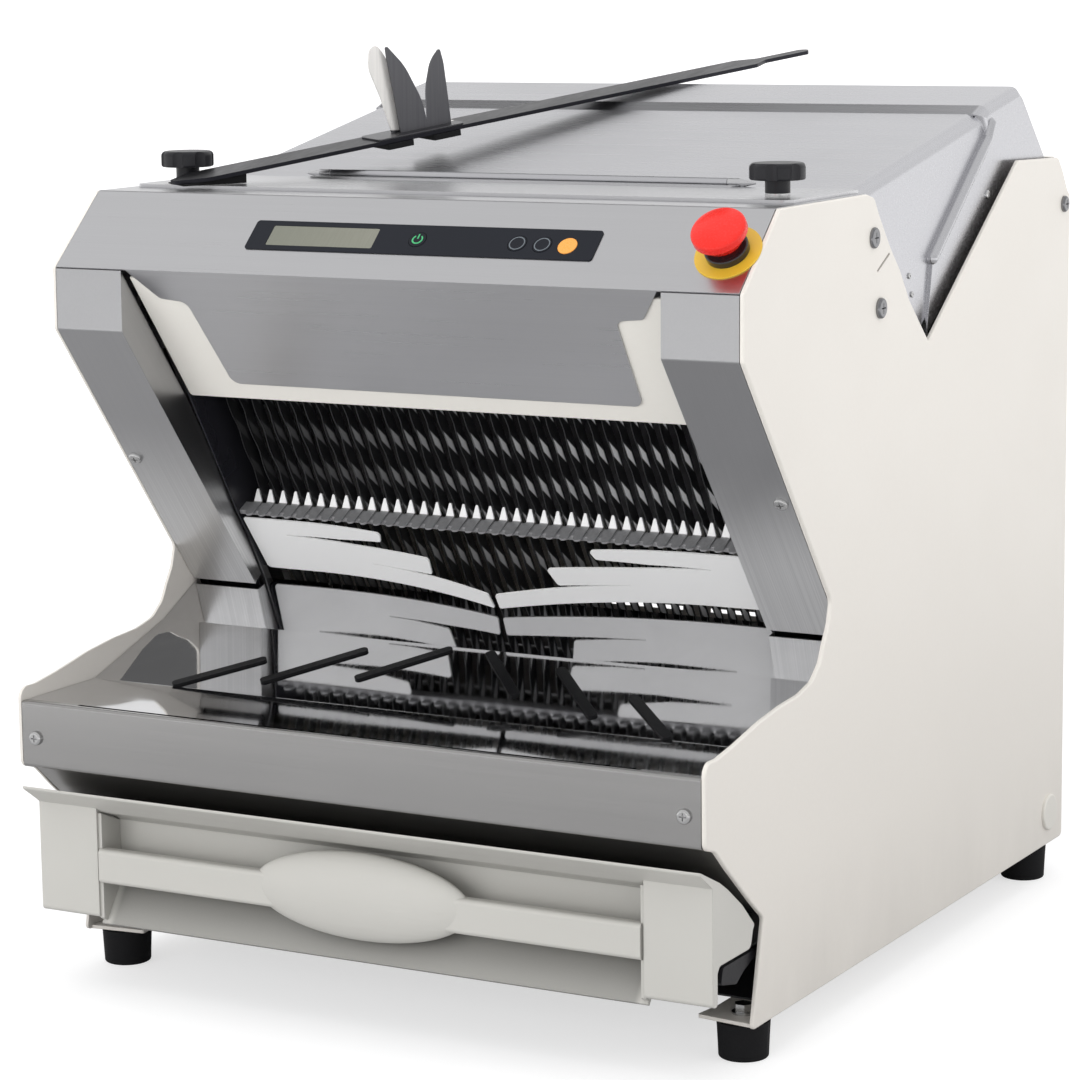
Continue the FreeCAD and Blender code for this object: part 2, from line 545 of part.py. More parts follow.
df = drawer_front()
print("drawer_front solids", len(df.Solids))
write("drawer_front", df)
DB_Y0, DB_Y1 = -27.3, 238.0
tub = box(-252, 252, DB_Y0, DB_Y1, 33, 78).cut(box(-250.5, 250.5, DB_Y0 + 1.5, DB_Y1 - 1.5, 34.5, 90))
fl = box(251.0, 309.0, 14.0, DB_Y1, 60.6, 62.0)
write("drawer_box", fuse([tub, fl, mirrored(fl)]))
run = prism_x([(240, 60.2), (-38, 60.2), (-42, 47), (-15, 41), (-2, 48), (20, 55), (240, 55)], 300.0, 313.0, [1, 3, 3, 3, 3, 3, 1])
run = fuse([run, box(312.5, 316.45, 30, 236, 40, 60)])
write("drawer_runners", both(run))

# ---------------------------------------------------------------- loaf bed, chamber sides, comb
SIDE_H = 60.0
bed = plate([(-LOAF_HALF, 0), (LOAF_HALF, 0), (LOAF_HALF, 481), (-LOAF_HALF, 481)], BED0 - BN * 1.5, EX, BD, BN, 1.5)
sd = plate([(22, -1.5), (440, -1.5), (440, SIDE_H - 14), (426, SIDE_H), (30, SIDE_H), (22, SIDE_H - 8)], V(LOAF_HALF - 0.3, BED0.y, BED0.z), BD, BN, EX, 1.5)
ears = []
ROD_H, ROD_X = 70.0, 272.0
for q in (58.0, 412.0):
    e = plate([(LOAF_HALF, 6), (286, 54), (286, 84), (258, 84), (LOAF_HALF, 62)], BED0 + BD * q, EX, BN, BD, 4.0, [0, 3, 5, 5, 3], [(ROD_X, ROD_H, ROD_R + 0.05)])
    ears.append(e)
    br = plate([(LOAF_HALF, 6), (LOAF_HALF + 28, -26), (315.9, -26), (315.9, -15), (290, -15), (290, 40), (286, 54), (LOAF_HALF, 30)], BED0 + BD * q, EX, BN, BD, 4.0)
    ears.append(br)
bed = fuse([bed, sd, mirrored(sd)] + ears + [mirrored(e) for e in ears])
write("bread_bed", bed)
rods = []
for sx in (-1, 1):
    r = Part.makeCylinder(ROD_R, 362.0, BED0 + BD * 56.0 + BN * ROD_H + EX * (sx * ROD_X), BD)
    rods.append(r)
write("pusher_rods", group(rods))

cs = prism_x([pk(58, 38), pk(236, 19.0), (187.0, 294.0), (212, 318), pbed(55.0, -6.0), pbed(55.0, 90.0), ptm(-188, 30)], 247.0, 248.5, [3, 3, 3, 6, 6, 6, 3])
gd = plate([(252.0, -20.0), (COVER_HALF, -20.0), (COVER_HALF, 86.0), (252.0, 86.0)], B0 - CM * 23.9, EX, CB, CM, 1.2)
write("chamber_guards", group([cs, mirrored(cs), gd, mirrored(gd)]))

COMB_B, COMB_G, COMB_A = V(0, 141.6, 349.3), V(0, 158.2, 358.1), V(0, 158.9, 369.2)
cd = COMB_G - COMB_B
cd.normalize()
cn = V(0, -cd.z, cd.y)           # out of the sloping faces
p1 = COMB_B + cd * 6.5 - cn * 1.4
p2 = COMB_G + cd * 0.2 - cn * 1.4
p3 = p2 - cn * 5.0
p4 = p1 - cn * 4.6
comb = [prism_x([(p1.y, p1.z), (p2.y, p2.z), (p3.y, p3.z), (p4.y, p4.z)], -246.9, 246.9, [1, 0, 1, 1])]
for k in range(-18, 19):
    x = k * PITCH
    ft = plate([(-4.1, 0), (4.1, 0), (4.1, 18.9), (-4.1, 18.9)], COMB_B + EX * x - cn * 1.8, EX, cd, cn, 1.8, [3.9, 3.9, 0, 0])
    up = COMB_A - COMB_G
    h = up.Length
    up.normalize()
    un = EX.cross(up)
    if un.y < 0:
        un = un * -1.0
    tip = plate([(-4.1, -1.2), (4.1, -1.2), (3.6, 1.5), (1.0, h), (-1.0, h), (-3.6, 1.5)], COMB_G + EX * x, EX, up, un, 1.8, [0, 0, 2, 0.9, 0.9, 2])
    comb += [ft, tip]
write("slice_comb", fuse(comb))

# ---------------------------------------------------------------- white finger flaps
FLAP_T = 1.6
FLAP_R = 838.0                   # the fingers bow forward with this radius
FLAP_K, FLAP_X = 18.2, 200.0


def bow(x, r):
    """Depth behind the pillar skins of the bowed strip at half width x."""
    d = FLAP_X - x
    return FLAP_K - (FLAP_R - math.sqrt(FLAP_R * FLAP_R - d * d)) + r


def flap_sheet():
    xe, xm = 2.2, 101.0

    def m3(x, k, s0):
        return OP + EX * x + EN * k + ED * s0
    s0, s1 = 241.0, 304.5
    a = [(244.0, FLAP_K), (FLAP_X, FLAP_K), (xm, bow(xm, 0)), (xe, bow(xe, 0))]
    b = [(244.0, FLAP_K + FLAP_T), (FLAP_X, FLAP_K + FLAP_T), (xm, bow(xm, FLAP_T)), (xe, bow(xe, FLAP_T))]
    e = [Part.LineSegment(m3(*a[0], s0), m3(*a[1], s0)).toShape(), Part.Arc(m3(*a[1], s0), m3(*a[2], s0), m3(*a[3], s0)).toShape(),
         Part.LineSegment(m3(*a[3], s0), m3(*b[3], s0)).toShape(), Part.Arc(m3(*b[3], s0), m3(*b[2], s0), m3(*b[1], s0)).toShape(),
         Part.LineSegment(m3(*b[1], s0), m3(*b[0], s0)).toShape(), Part.LineSegment(m3(*b[0], s0), m3(*a[0], s0)).toShape()]
    sheet = Part.Face(Part.Wire(e)).extrude(ED * (s1 - s0))
    # outline of the three fingers, cut square through the sheet
    keep = plate([(244.0, 241.0), (244.0, 304.0), (205, 304.3), (127, 304.3), (33, 304.4), (2.4, 304.4), (3.4, 287.5), (62, 285.2), (150, 283.6),
                  (100, 283.4), (61.5, 281.8), (57.0, 261.0), (100, 262.4), (138, 262.6), (218, 259.6), (150, 257.6), (104.5, 252.2), (101.0, 241.0)],
                 OP - EN * 30.0, EX, ED, EN, 80.0, [2, 4, 0, 0, 0, 2, 2, 40, 0.4, 40, 3, 3, 60, 60, 0.4, 60, 3, 3])
    return sheet.common(keep)


flap = flap_sheet()
print("flap solids", len(flap.Solids))
flap = max(flap.Solids, key=lambda q: q.Volume)
write("flap_right", flap)
write("flap_left", mirrored(flap))

# ---------------------------------------------------------------- blade frames
def blade_x(i):
    return (i - (N_BLADE - 1) / 2.0) * PITCH


T_TOP, T_BOT = -223.0, 128.0


def blade(x, side):
    """One strip; side -1 hooks into the front frame, +1 into the rear frame."""
    front, back = [], []
    n = 44
    t0, t1 = -205.0, 110.0
    for i in range(n + 1):
        t = t0 + (t1 - t0) * i / n
        w = abs(math.sin(math.pi * (t + (0.5 * BLADE_WAVE if side > 0 else 0.0)) / BLADE_WAVE))
        front.append((t, -BLADE_D / 2 + 2.6 * (1.0 - w)))
        back.append((t, BLADE_D / 2))
    hook = 16.0
    if side < 0:
        pts = [(T_TOP + 3, -hook)] + [(T_TOP + 15, -hook), (T_TOP + 15, -BLADE_D / 2)] + front + [(T_BOT - 15, -BLADE_D / 2), (T_BOT - 15, -hook), (T_BOT - 3, -hook), (T_BOT - 3, 2.0), (112.0, BLADE_D / 2)] + back[::-1] + [(-206.0, BLADE_D / 2), (T_TOP + 3, 2.0)]
    else:
        pts = [(T_TOP + 3, -2.0), (-206.0, -BLADE_D / 2)] + front + [(111.5, -BLADE_D / 2), (T_BOT - 3, -2.0), (T_BOT - 3, hook), (T_BOT - 15, hook), (T_BOT - 15, BLADE_D / 2)] + back[::-1] + [(T_TOP + 15, BLADE_D / 2), (T_TOP + 15, hook), (T_TOP + 3, hook)]
    return plate(pts, B0 + EX * (x - BLADE_T / 2), CB, CM, EX, BLADE_T)


front_x = [blade_x(i) for i in range(0, N_BLADE, 2)]
rear_x = [blade_x(i) for i in range(1, N_BLADE, 2)]
write("front_blades", group([blade(x, -1) for x in front_x]))
write("rear_blades", group([blade(x, 1) for x in rear_x]))
G_X = 285.0
ROD_X0 = 32.5           # planes of the two connecting rods
PIN_T = 172.0           # wrist pins, below the blade plane's origin


def frame(side, xs):
    """Welded frame: two cross bars, two side rails, four guide lugs with bushes, a drive lug with wrist pin."""
    ma, mb = (-16.0, -8.0) if side < 0 else (8.0, 16.0)
    mr = -12.0 if side < 0 else 12.0

    def slab(x0, x1, t0, t1):
        return plate([(x0, t0), (x1, t0), (x1, t1), (x0, t1)], B0 + CM * ma, EX, CB, CM, mb - ma)
    parts = [slab(-262, 262, T_TOP, T_TOP + 17), slab(-262, 262, T_BOT - 17, T_BOT), slab(250, 262, T_TOP, T_BOT), slab(-262, -250, T_TOP, T_BOT)]
    for sx in (-1, 1):
        for tc in (-188.0, 92.0):
            x0, x1 = sorted((sx * 261.0, sx * G_X))
            parts.append(slab(x0, x1, tc - 10, tc + 10))
            parts.append(cyl(B0 + EX * (sx * G_X) + CM * mr + CB * (tc - 14), CB, 10.0, 28.0))
    s = fuse(parts)
    for sx in (-1, 1):
        s = s.cut(cyl(B0 + EX * (sx * G_X) + CM * mr + CB * T_TOP, CB, ROD_R + BUSH_GAP, 400.0))
    slots = []
    for x in xs:
        slots.append(plate([(x - 0.55, T_TOP + 2.8), (x + 0.55, T_TOP + 2.8), (x + 0.55, T_TOP + 15.0), (x - 0.55, T_TOP + 15.0)], B0 + CM * (ma - 1 if side < 0 else ma - 2), EX, CB, CM, 11.0))
        slots.append(plate([(x - 0.55, T_BOT - 15.0), (x + 0.55, T_BOT - 15.0), (x + 0.55, T_BOT - 2.8), (x - 0.55, T_BOT - 2.8)], B0 + CM * (ma - 1 if side < 0 else ma - 2), EX, CB, CM, 11.0))
    s = s.cut(Part.makeCompound(slots))
    # drive lug: one cheek with a round boss, bored for the wrist pin
    sgn = 1 if side < 0 else -1
    xa, xb = sorted((sgn * (-ROD_X0 - 9.5), sgn * (-ROD_X0 - 4.5)))
    lug = [plate([(T_BOT - 2, ma), (PIN_T, ma), (PIN_T, mb), (T_BOT - 2, mb)], B0 + EX * xa, CB, CM, EX, xb - xa),
           cyl(B0 + EX * xa + CB * PIN_T + CM * mr, EX, 10.0, xb - xa)]
    s = fuse([s] + lug)
    return s.cut(cyl(B0 + EX * (xa - 1) + CB * PIN_T + CM * mr, EX, 5.05, 7.0))


write("front_blade_frame", frame(-1, front_x))
write("rear_blade_frame", frame(1, rear_x))
grods, gblocks = [], []
for sx in (-1, 1):
    for m in (-12.0, 12.0):
        grods.append(cyl(B0 + EX * (sx * G_X) + CM * m - CB * 241.0, CB, ROD_R, 392.0))
    for (t0, t1) in ((-241.0, -231.0), (141.0, 151.0)):
        x0, x1 = sorted((sx * 272.0, sx * 316.4))
        b = plate([(x0, t0), (x1, t0), (x1, t1), (x0, t1)], B0 - CM * 21.0, EX, CB, CM, 42.0)
        for m in (-12.0, 12.0):
            b = b.cut(cyl(B0 + EX * (sx * G_X) + CM * m + CB * (t0 - 2), CB, ROD_R + 0.03, 16.0))
        gblocks.append(b)
write("guide_rods", group(grods))
write("guide_blocks", group(gblocks))

# ---------------------------------------------------------------- crankshaft, connecting rods, belt drive
CR_T = 250.0
CC = B0 + CB * CR_T
SH_R = 9.0


def pcr(x, a, b):
    return CC + EX * x + CB * a + CM * b


cs_parts = [cyl(pcr(-150, 0, 0), EX, SH_R, 318.0)]
ecc = []
for (x, sg) in ((-ROD_X0, -1), (ROD_X0, 1)):
    cs_parts.append(cyl(pcr(x - 8, 0, sg * CRANK_R), EX, 25.0, 16.0))
pul = cyl(pcr(154.0, 0, 0), EX, PULLEY_R, 14.0).cut(cyl(pcr(153, 0, 0), EX, PULLEY_R - 8, 5.0).cut(cyl(pcr(153, 0, 0), EX, 16, 5.0)))
groove = cyl(pcr(157.0, 0, 0), EX, PULLEY_R + 2, 8.0).cut(cyl(pcr(157.0, 0, 0), EX, PULLEY_R - 3.0, 8.0))
pul = pul.cut(groove)
cs_parts.append(pul)
write("crankshaft", fuse(cs_parts))


def con_rod(x, sg):
    """Rod with its eccentric strap; the wrist pin sits in the small eye and ends beside the frame's lug."""
    big_c = pcr(x, 0, sg * CRANK_R)
    small = B0 + EX * x + CB * PIN_T + CM * (sg * 12.0)
    d = small - big_c
    d.normalize()
    w = EX.cross(d)
    big = cyl(big_c - EX * 7, EX, 33.0, 14.0)
    web = Part.Face(Part.makePolygon([big_c + w * 13 - EX * 3, small + w * 8 - EX * 3, small - w * 8 - EX * 3, big_c - w * 13 - EX * 3, big_c + w * 13 - EX * 3])).extrude(EX * 6)
    eye = cyl(small - EX * 4, EX, 12.0, 8.0)
    s = fuse([big, web, eye])
    s = s.cut(cyl(big_c - EX * 9, EX, 25.05, 18.0))
    s = s.cut(cyl(small - EX * 9, EX, 5.0, 18.0))
    away = -sg
    pin = cyl(small + EX * (-4.0 if away > 0 else -5.2), EX, 5.0, 9.2)
    head = cyl(small + EX * (4.0 if away > 0 else -7.2), EX, 8.0, 3.2)
    return group([s, fuse([pin, head])])


write("connecting_rod_front", con_rod(-ROD_X0, -1))
write("connecting_rod_rear", con_rod(ROD_X0, 1))
bb = []
for x in (-105.0, 105.0):
    b = box(x - 12, x + 12, CC.y - 26, CC.y + 26, 78.0, CC.z + 16)
    b = fillet(b, 8.0, lambda e: e.CenterOfMass.z > CC.z + 15 and e.Length < 30 and e.BoundBox.XLength > 20)
    b = b.cut(cyl(V(x - 14, CC.y, CC.z), EX, SH_R + 0.05, 28))
    bb.append(b)
write("bearing_blocks", group(bb))
beam = box(-316.4, 316.4, CC.y - 28, CC.y + 28, 48.0, 78.0).cut(box(-316.4, 316.4, CC.y - 25, CC.y + 25, 51.0, 75.0))
write("drive_beam", beam)
MC = V(0, 480.0, 118.0)
mp = cyl(V(154.0, MC.y, MC.z), EX, MOTOR_PULLEY_R, 14.0).cut(cyl(V(157.0, MC.y, MC.z), EX, MOTOR_PULLEY_R + 2, 8.0).cut(cyl(V(157.0, MC.y, MC.z), EX, MOTOR_PULLEY_R - 3.0, 8.0)))
mp = fuse([mp, cyl(V(62.0, MC.y, MC.z), EX, 7.0, 108.0)])
write("motor_pulley", mp)
mot = cyl(V(-95, MC.y, MC.z), EX, 62.0, 190.0)
mot = fillet(mot, 5.0, lambda e: e.Length > 300)
foot_m = fuse([box(-70, 70, MC.y - 70, MC.y + 70, 3.0 + 1.5, 10.0), box(-62, 62, MC.y - 36, MC.y + 36, 8, 72)])
jb = box(-40, 40, MC.y - 35, MC.y + 35, MC.z + 55, MC.z + 92)
mot = fuse([mot, foot_m, jb]).cut(cyl(V(60.0, MC.y, MC.z), EX, 7.05, 60.0))
write("motor", mot)


def belt_loop():
    a = V(0, CC.y, CC.z)
    b = MC
    d = (b - a)
    L = d.Length
    ra, rb = PULLEY_R - 3.0 + 0.35, MOTOR_PULLEY_R - 3.0 + 0.35
    u = d * (1.0 / L)
    w = V(0, -u.z, u.y)
    sb = (ra - rb) / L
    cb = math.sqrt(1 - sb * sb)

    def loop(e):
        r1, r2 = ra + e, rb + e
        n1 = u * sb + w * cb
        n2 = u * sb - w * cb
        a1, a2 = a + n1 * r1, a + n2 * r1
        b1, b2 = b + n1 * r2, b + n2 * r2
        off = V(158.2, 0, 0)
        return Part.Wire([Part.LineSegment(off + a1, off + b1).toShape(), Part.Arc(off + b1, off + b + u * r2, off + b2).toShape(),
                          Part.LineSegment(off + b2, off + a2).toShape(), Part.Arc(off + a2, off + a - u * r1, off + a1).toShape()])
    outer = Part.Face(loop(4.0)).extrude(EX * 5.6)
    inner = Part.Face(loop(0.0)).extrude(EX * 5.6)
    return outer.cut(inner)


write("drive_belt", belt_loop())

# ---------------------------------------------------------------- pusher
PQ = 372.0
face = plate([(-236, 4), (236, 4), (236, 80), (-236, 80)], BED0 + BD * (PQ - 62), EX, BN, BD, 4.0, [3, 3, 8, 8])
back = [plate([(PQ - 59, 40), (PQ + 10, 56), (PQ + 10, 80), (PQ - 59, 80)], V(x, BED0.y, BED0.z), BD, BN, EX, 4.0) for x in (-236.0, -100.0, 96.0, 232.0)]
cross = plate([(-262, 62), (262, 62), (262, 80), (-262, 80)], BED0 + BD * (PQ - 8), EX, BN, BD, 16.0)
hub = []
for sx in (-1, 1):
    hub.append(Part.makeCylinder(12.0, 26.0, BED0 + BD * (PQ - 13) + BN * ROD_H + EX * (sx * ROD_X), BD))
push = fuse([face, cross] + back + hub)
for sx in (-1, 1):
    push = push.cut(Part.makeCylinder(ROD_R + BUSH_GAP, 60.0, BED0 + BD * (PQ - 30) + BN * ROD_H + EX * (sx * ROD_X), BD))
write("pusher", push)

# ---------------------------------------------------------------- base, rear panel, electrics
bp = box(-315.9, 315.9, 64.0, 668.0, 3.0, 4.5)
for sx in (-1, 1):
    bp = bp.cut(cyl(V(sx * FOOT_X, 636, 0), EZ, 4.1, 10))
write("base_plate", bp)
rp = bent([(645.5, 641.0), (657.5, 628.0), (671.6, 608.0), (671.6, 4.6)], -T_STAINLESS, 2.0, -315.9, 315.9)
slots = []
for i in range(9):
    for x in (-120.0, 0.0, 120.0):
        slots.append(box(x - 45, x + 45, 660, 680, 90 + i * 12, 94 + i * 12))
rp = rp.cut(Part.makeCompound(slots))
IN_X, IN_Z = -236.0, 60.0
rp = rp.cut(box(IN_X - 14, IN_X + 14, 660, 680, IN_Z - 10.5, IN_Z + 10.5))
write("rear_panel", rp)
inl = box(IN_X - 25, IN_X + 25, 671.8, 674.8, IN_Z - 15, IN_Z + 15)
inl = fillet(inl, 4.0, lambda e: e.BoundBox.YLength > 2.0)
inl = inl.fuse(box(IN_X - 13.8, IN_X + 13.8, 648.0, 672.5, IN_Z - 10.3, IN_Z + 10.3))
inl = inl.cut(box(IN_X - 12, IN_X + 12, 656.0, 680.0, IN_Z - 8.2, IN_Z + 8.2))
pins = [box(IN_X + dx - 1, IN_X + dx + 1, 655.0, 670.0, IN_Z + dz - 2, IN_Z + dz + 2) for dx, dz in ((-7, -2), (0, 2), (7, -2))]
write("power_inlet", fuse([inl] + pins))
cb_ = box(-300, -150, 330, 560, 4.5, 130).cut(box(-297, -153, 333, 557, 7, 127))
write("control_box", cb_)

# ---------------------------------------------------------------- feet and fasteners
feet, bolts = [], []
for sx in (-1, 1):
    for y in (31.0, 636.0):
        f = Part.makeCone(FOOT_R - 1.5, FOOT_R, 30.0, V(sx * FOOT_X, y, -FOOT_H), EZ)
        f = f.fuse(cyl(V(sx * FOOT_X, y, -2.0), EZ, 12.0, 2.0)).removeSplitter()
        f = fillet(f, 2.0, lambda e: abs(e.CenterOfMass.z + FOOT_H) < 1e-3)
        f = f.cut(cyl(V(sx * FOOT_X, y, -20.0), EZ, 4.05, 30.0))
        f = f.cut(cyl(V(sx * FOOT_X, y, -FOOT_H - 1), EZ, 8.0, 9.0))
        feet.append(f)
        z0 = 3.0 if y < 100 else 4.5
        b = fuse([cyl(V(sx * FOOT_X, y, -20.0), EZ, 4.0, 22.0 + z0), cyl(V(sx * FOOT_X, y, z0), EZ, 9.5, 1.6),
                  Part.Face(Part.makePolygon([V(sx * FOOT_X + 7.5 * math.cos(math.radians(60 * i)), y + 7.5 * math.sin(math.radians(60 * i)), z0 + 1.6) for i in range(7)])).extrude(V(0, 0, 6.5))])
        bolts.append(b)
write("feet", group(feet))
scr = []
y, z = pk(152.4, 0)
for sx in (-1, 1):
    scr.append(pan_screw(V(sx * 307, y, z) - EN * 0.02, EN * -1.0, 6.0, 3.4, 3.0, 8.0))
    scr.append(pan_screw(V(sx * 302, -81.02, 188), V(0, -1, 0), 6.0, 3.4, 3.0, 8.0))
pr = []
pr.append(pan_screw(V(HALF_W, 229, 599), EX, 8.6, 2.6, 3.0, 8.0))
pr.append(pan_screw(V(HALF_W, 242, 541), EX, 8.6, 3.4, 3.0, 8.0))
pr.append(pan_screw(V(HALF_W, 662, 597), EX, 7.4, 3.4, 3.0, 8.0))
cap = cyl(V(HALF_W, 641, 31), EX, 17.0, 3.0)
cap = fillet(cap, 1.8, lambda e: abs(e.CenterOfMass.x - HALF_W - 3.0) < 1e-3)
cap = fuse([cap, cyl(V(HALF_W - 6, 641, 31), EX, 9.0, 6.5)])
scr += pr + [mirrored(s) for s in pr]
write("case_fasteners", group(scr + bolts))
write("plug_caps", both(cap))

# ---------------------------------------------------------------- bagging paddle lying across the top
PA = V(-254.0, 72.0, 639.8)
PB = V(31.0, 736.0, 730.8)
P_ROLL = math.radians(4.0)       # it leans on one long edge
pd = PB - PA
PLEN = pd.Length
pd.normalize()
pw = pd.cross(EZ)
pw.normalize()
pn = pw.cross(pd)
pw = pw * math.cos(P_ROLL) - pn * math.sin(P_ROLL)
pn = pw.cross(pd)
bar = plate([(0, -4), (26, -17), (PLEN - 82, -17), (PLEN - 62, -6.5), (PLEN - 7, -6.5), (PLEN, 0), (PLEN - 7, 6.5), (PLEN - 62, 6.5), (PLEN - 82, 17), (26, 17), (0, 4)],
            PA, pd, pw, pn, 3.4, [2, 12, 10, 10, 4, 5, 4, 10, 10, 12, 2])
write("paddle_bar", bar)
clips = []
for (s0, s1) in ((212.0, 240.0), (262.0, 292.0)):
    clips.append(plate([(s0, -19), (s1, -19), (s1, 19), (s0, 19)], PA - pn * 5.0, pd, pw, pn, 4.9, 2.0))
wz = PA.z - 0.5
kz = pd.z / math.hypot(pd.x, pd.y)
ph = V(pd.x, pd.y, 0)
ph.normalize()
o = V(PA.x, PA.y, 0)
wedge = Part.Face(Part.makePolygon([o + ph * 3 + EZ * wz, o + ph * 66 + EZ * wz, o + ph * 66 + EZ * (PA.z + 66 * kz - 0.02), o + ph * 3 + EZ * (PA.z + 3 * kz - 0.02), o + ph * 3 + EZ * wz]))
wedge.translate(pw * -12.0)
clips.append(wedge.extrude(pw * 24.0))
write("paddle_clips", group(clips))


def leaf(s0, pts, radii, off):
    """Upright leaf: a along the strip, b up; its foot follows the sloping foot plate."""
    base = PA + pd * s0 + pn * 3.4
    nrm = ph.cross(EZ)
    return plate([(a, b if b > 4 else kz * a + 0.6) for a, b in pts], base + nrm * (off - 0.8), ph, EZ, nrm, 1.6, radii)


foot_p = plate([(205, -15), (300, -15), (300, 15), (205, 15)], PA + pn * 3.4, pd, pw, pn, 1.4, 5.0)
l1 = leaf(252.0, [(-14.4, 0), (-21.6, 34.4), (-28.1, 64.0), (-30.0, 77.0), (-9.4, 58.0), (8.7, 28.0), (15.9, 0)], [0, 60, 60, 1.5, 60, 60, 0], 2.0)
l2 = leaf(280.0, [(-13.0, 0), (-14.4, 34.0), (-8.7, 58.0), (1.4, 69.0), (5.5, 56.0), (9.5, 28.0), (13.0, 0)], [0, 60, 40, 1.5, 40, 60, 0], 2.0)
l3 = leaf(252.0, [(-20.0, 0), (-32.0, 30.0), (-45.0, 57.0), (-43.0, 72.0), (-36.0, 77.0), (-26.0, 66.0), (-14.0, 34.0), (-8.0, 0)], [0, 60, 20, 6, 6, 40, 60, 0], -3.0)
ears_p = fuse([foot_p, l1, l2, l3])
print("paddle ears solids", len(ears_p.Solids))
write("paddle_ears", ears_p)

print("nodes", len(written), "YC", YC)
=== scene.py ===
import math

import bmesh
import bpy
from mathutils import Matrix, Vector


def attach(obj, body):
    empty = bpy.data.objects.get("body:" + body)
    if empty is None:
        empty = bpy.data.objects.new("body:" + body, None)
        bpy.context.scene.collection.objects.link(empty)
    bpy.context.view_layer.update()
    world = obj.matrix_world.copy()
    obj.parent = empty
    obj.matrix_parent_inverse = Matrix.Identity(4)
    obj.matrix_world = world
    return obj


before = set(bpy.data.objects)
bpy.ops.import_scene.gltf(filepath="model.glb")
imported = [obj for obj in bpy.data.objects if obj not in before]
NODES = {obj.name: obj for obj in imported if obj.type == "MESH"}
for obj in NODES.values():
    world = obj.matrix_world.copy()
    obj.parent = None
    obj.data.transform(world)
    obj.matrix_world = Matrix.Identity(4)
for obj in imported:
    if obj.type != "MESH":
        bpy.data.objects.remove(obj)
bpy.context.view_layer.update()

# ------------------------------------------------------------------ frame of the drawing
YC, FOOT = 0.325065, 0.032


def P(x, y, z):
    """Drawing coordinates in mm (front lower panel corner) to the row frame in metres."""
    return Vector((x / 1000.0, y / 1000.0 - YC, z / 1000.0 + FOOT))


def D(x, y, z):
    return Vector((x, y, z)).normalized()


ED = D(0, 0.6124, -0.7906)
EN = D(0, 0.7906, 0.6124)
FD = D(0, -64.5, -59.4)
FN = Vector((0, FD.z, -FD.y))
CB = D(0, 0.5, -0.8660254)
CM = D(0, 0.8660254, 0.5)
TSL = math.radians(17.8)
TD = Vector((0, math.cos(TSL), math.sin(TSL)))
TN = Vector((0, -math.sin(TSL), math.cos(TSL)))
LSL = math.radians(10.8)
LD = Vector((0, math.cos(LSL), math.sin(LSL)))
LN = Vector((0, -math.sin(LSL), math.cos(LSL)))
FACE0 = P(0, 52.0, 635.0)
EX = Vector((1, 0, 0))
MM = 0.001


# ------------------------------------------------------------------ camera at the photograph's place
def camera():
    c = P(1439.95, -2348.28, 827.79)
    yaw, pitch, roll = 0.50689, 0.16727, -0.012441
    fwd = Vector((-math.sin(yaw) * math.cos(pitch), math.cos(yaw) * math.cos(pitch), -math.sin(pitch)))
    right = Vector((math.cos(yaw), math.sin(yaw), 0))
    up = right.cross(fwd)
    r2 = right * math.cos(roll) + up * math.sin(roll)
    u2 = up * math.cos(roll) - right * math.sin(roll)
    cam = bpy.data.cameras.new("camera")
    cam.sensor_fit = "HORIZONTAL"
    cam.sensor_width = 36.0
    cam.lens = 3470.0 / 1080.0 * 36.0
    cam.clip_start = 0.05
    cam.clip_end = 900.0
    ob = bpy.data.objects.new("camera", cam)
    m = Matrix((r2, u2, -fwd)).transposed().to_4x4()
    m.translation = c
    ob.matrix_world = m
    bpy.context.scene.collection.objects.link(ob)
    bpy.context.scene.camera = ob


camera()


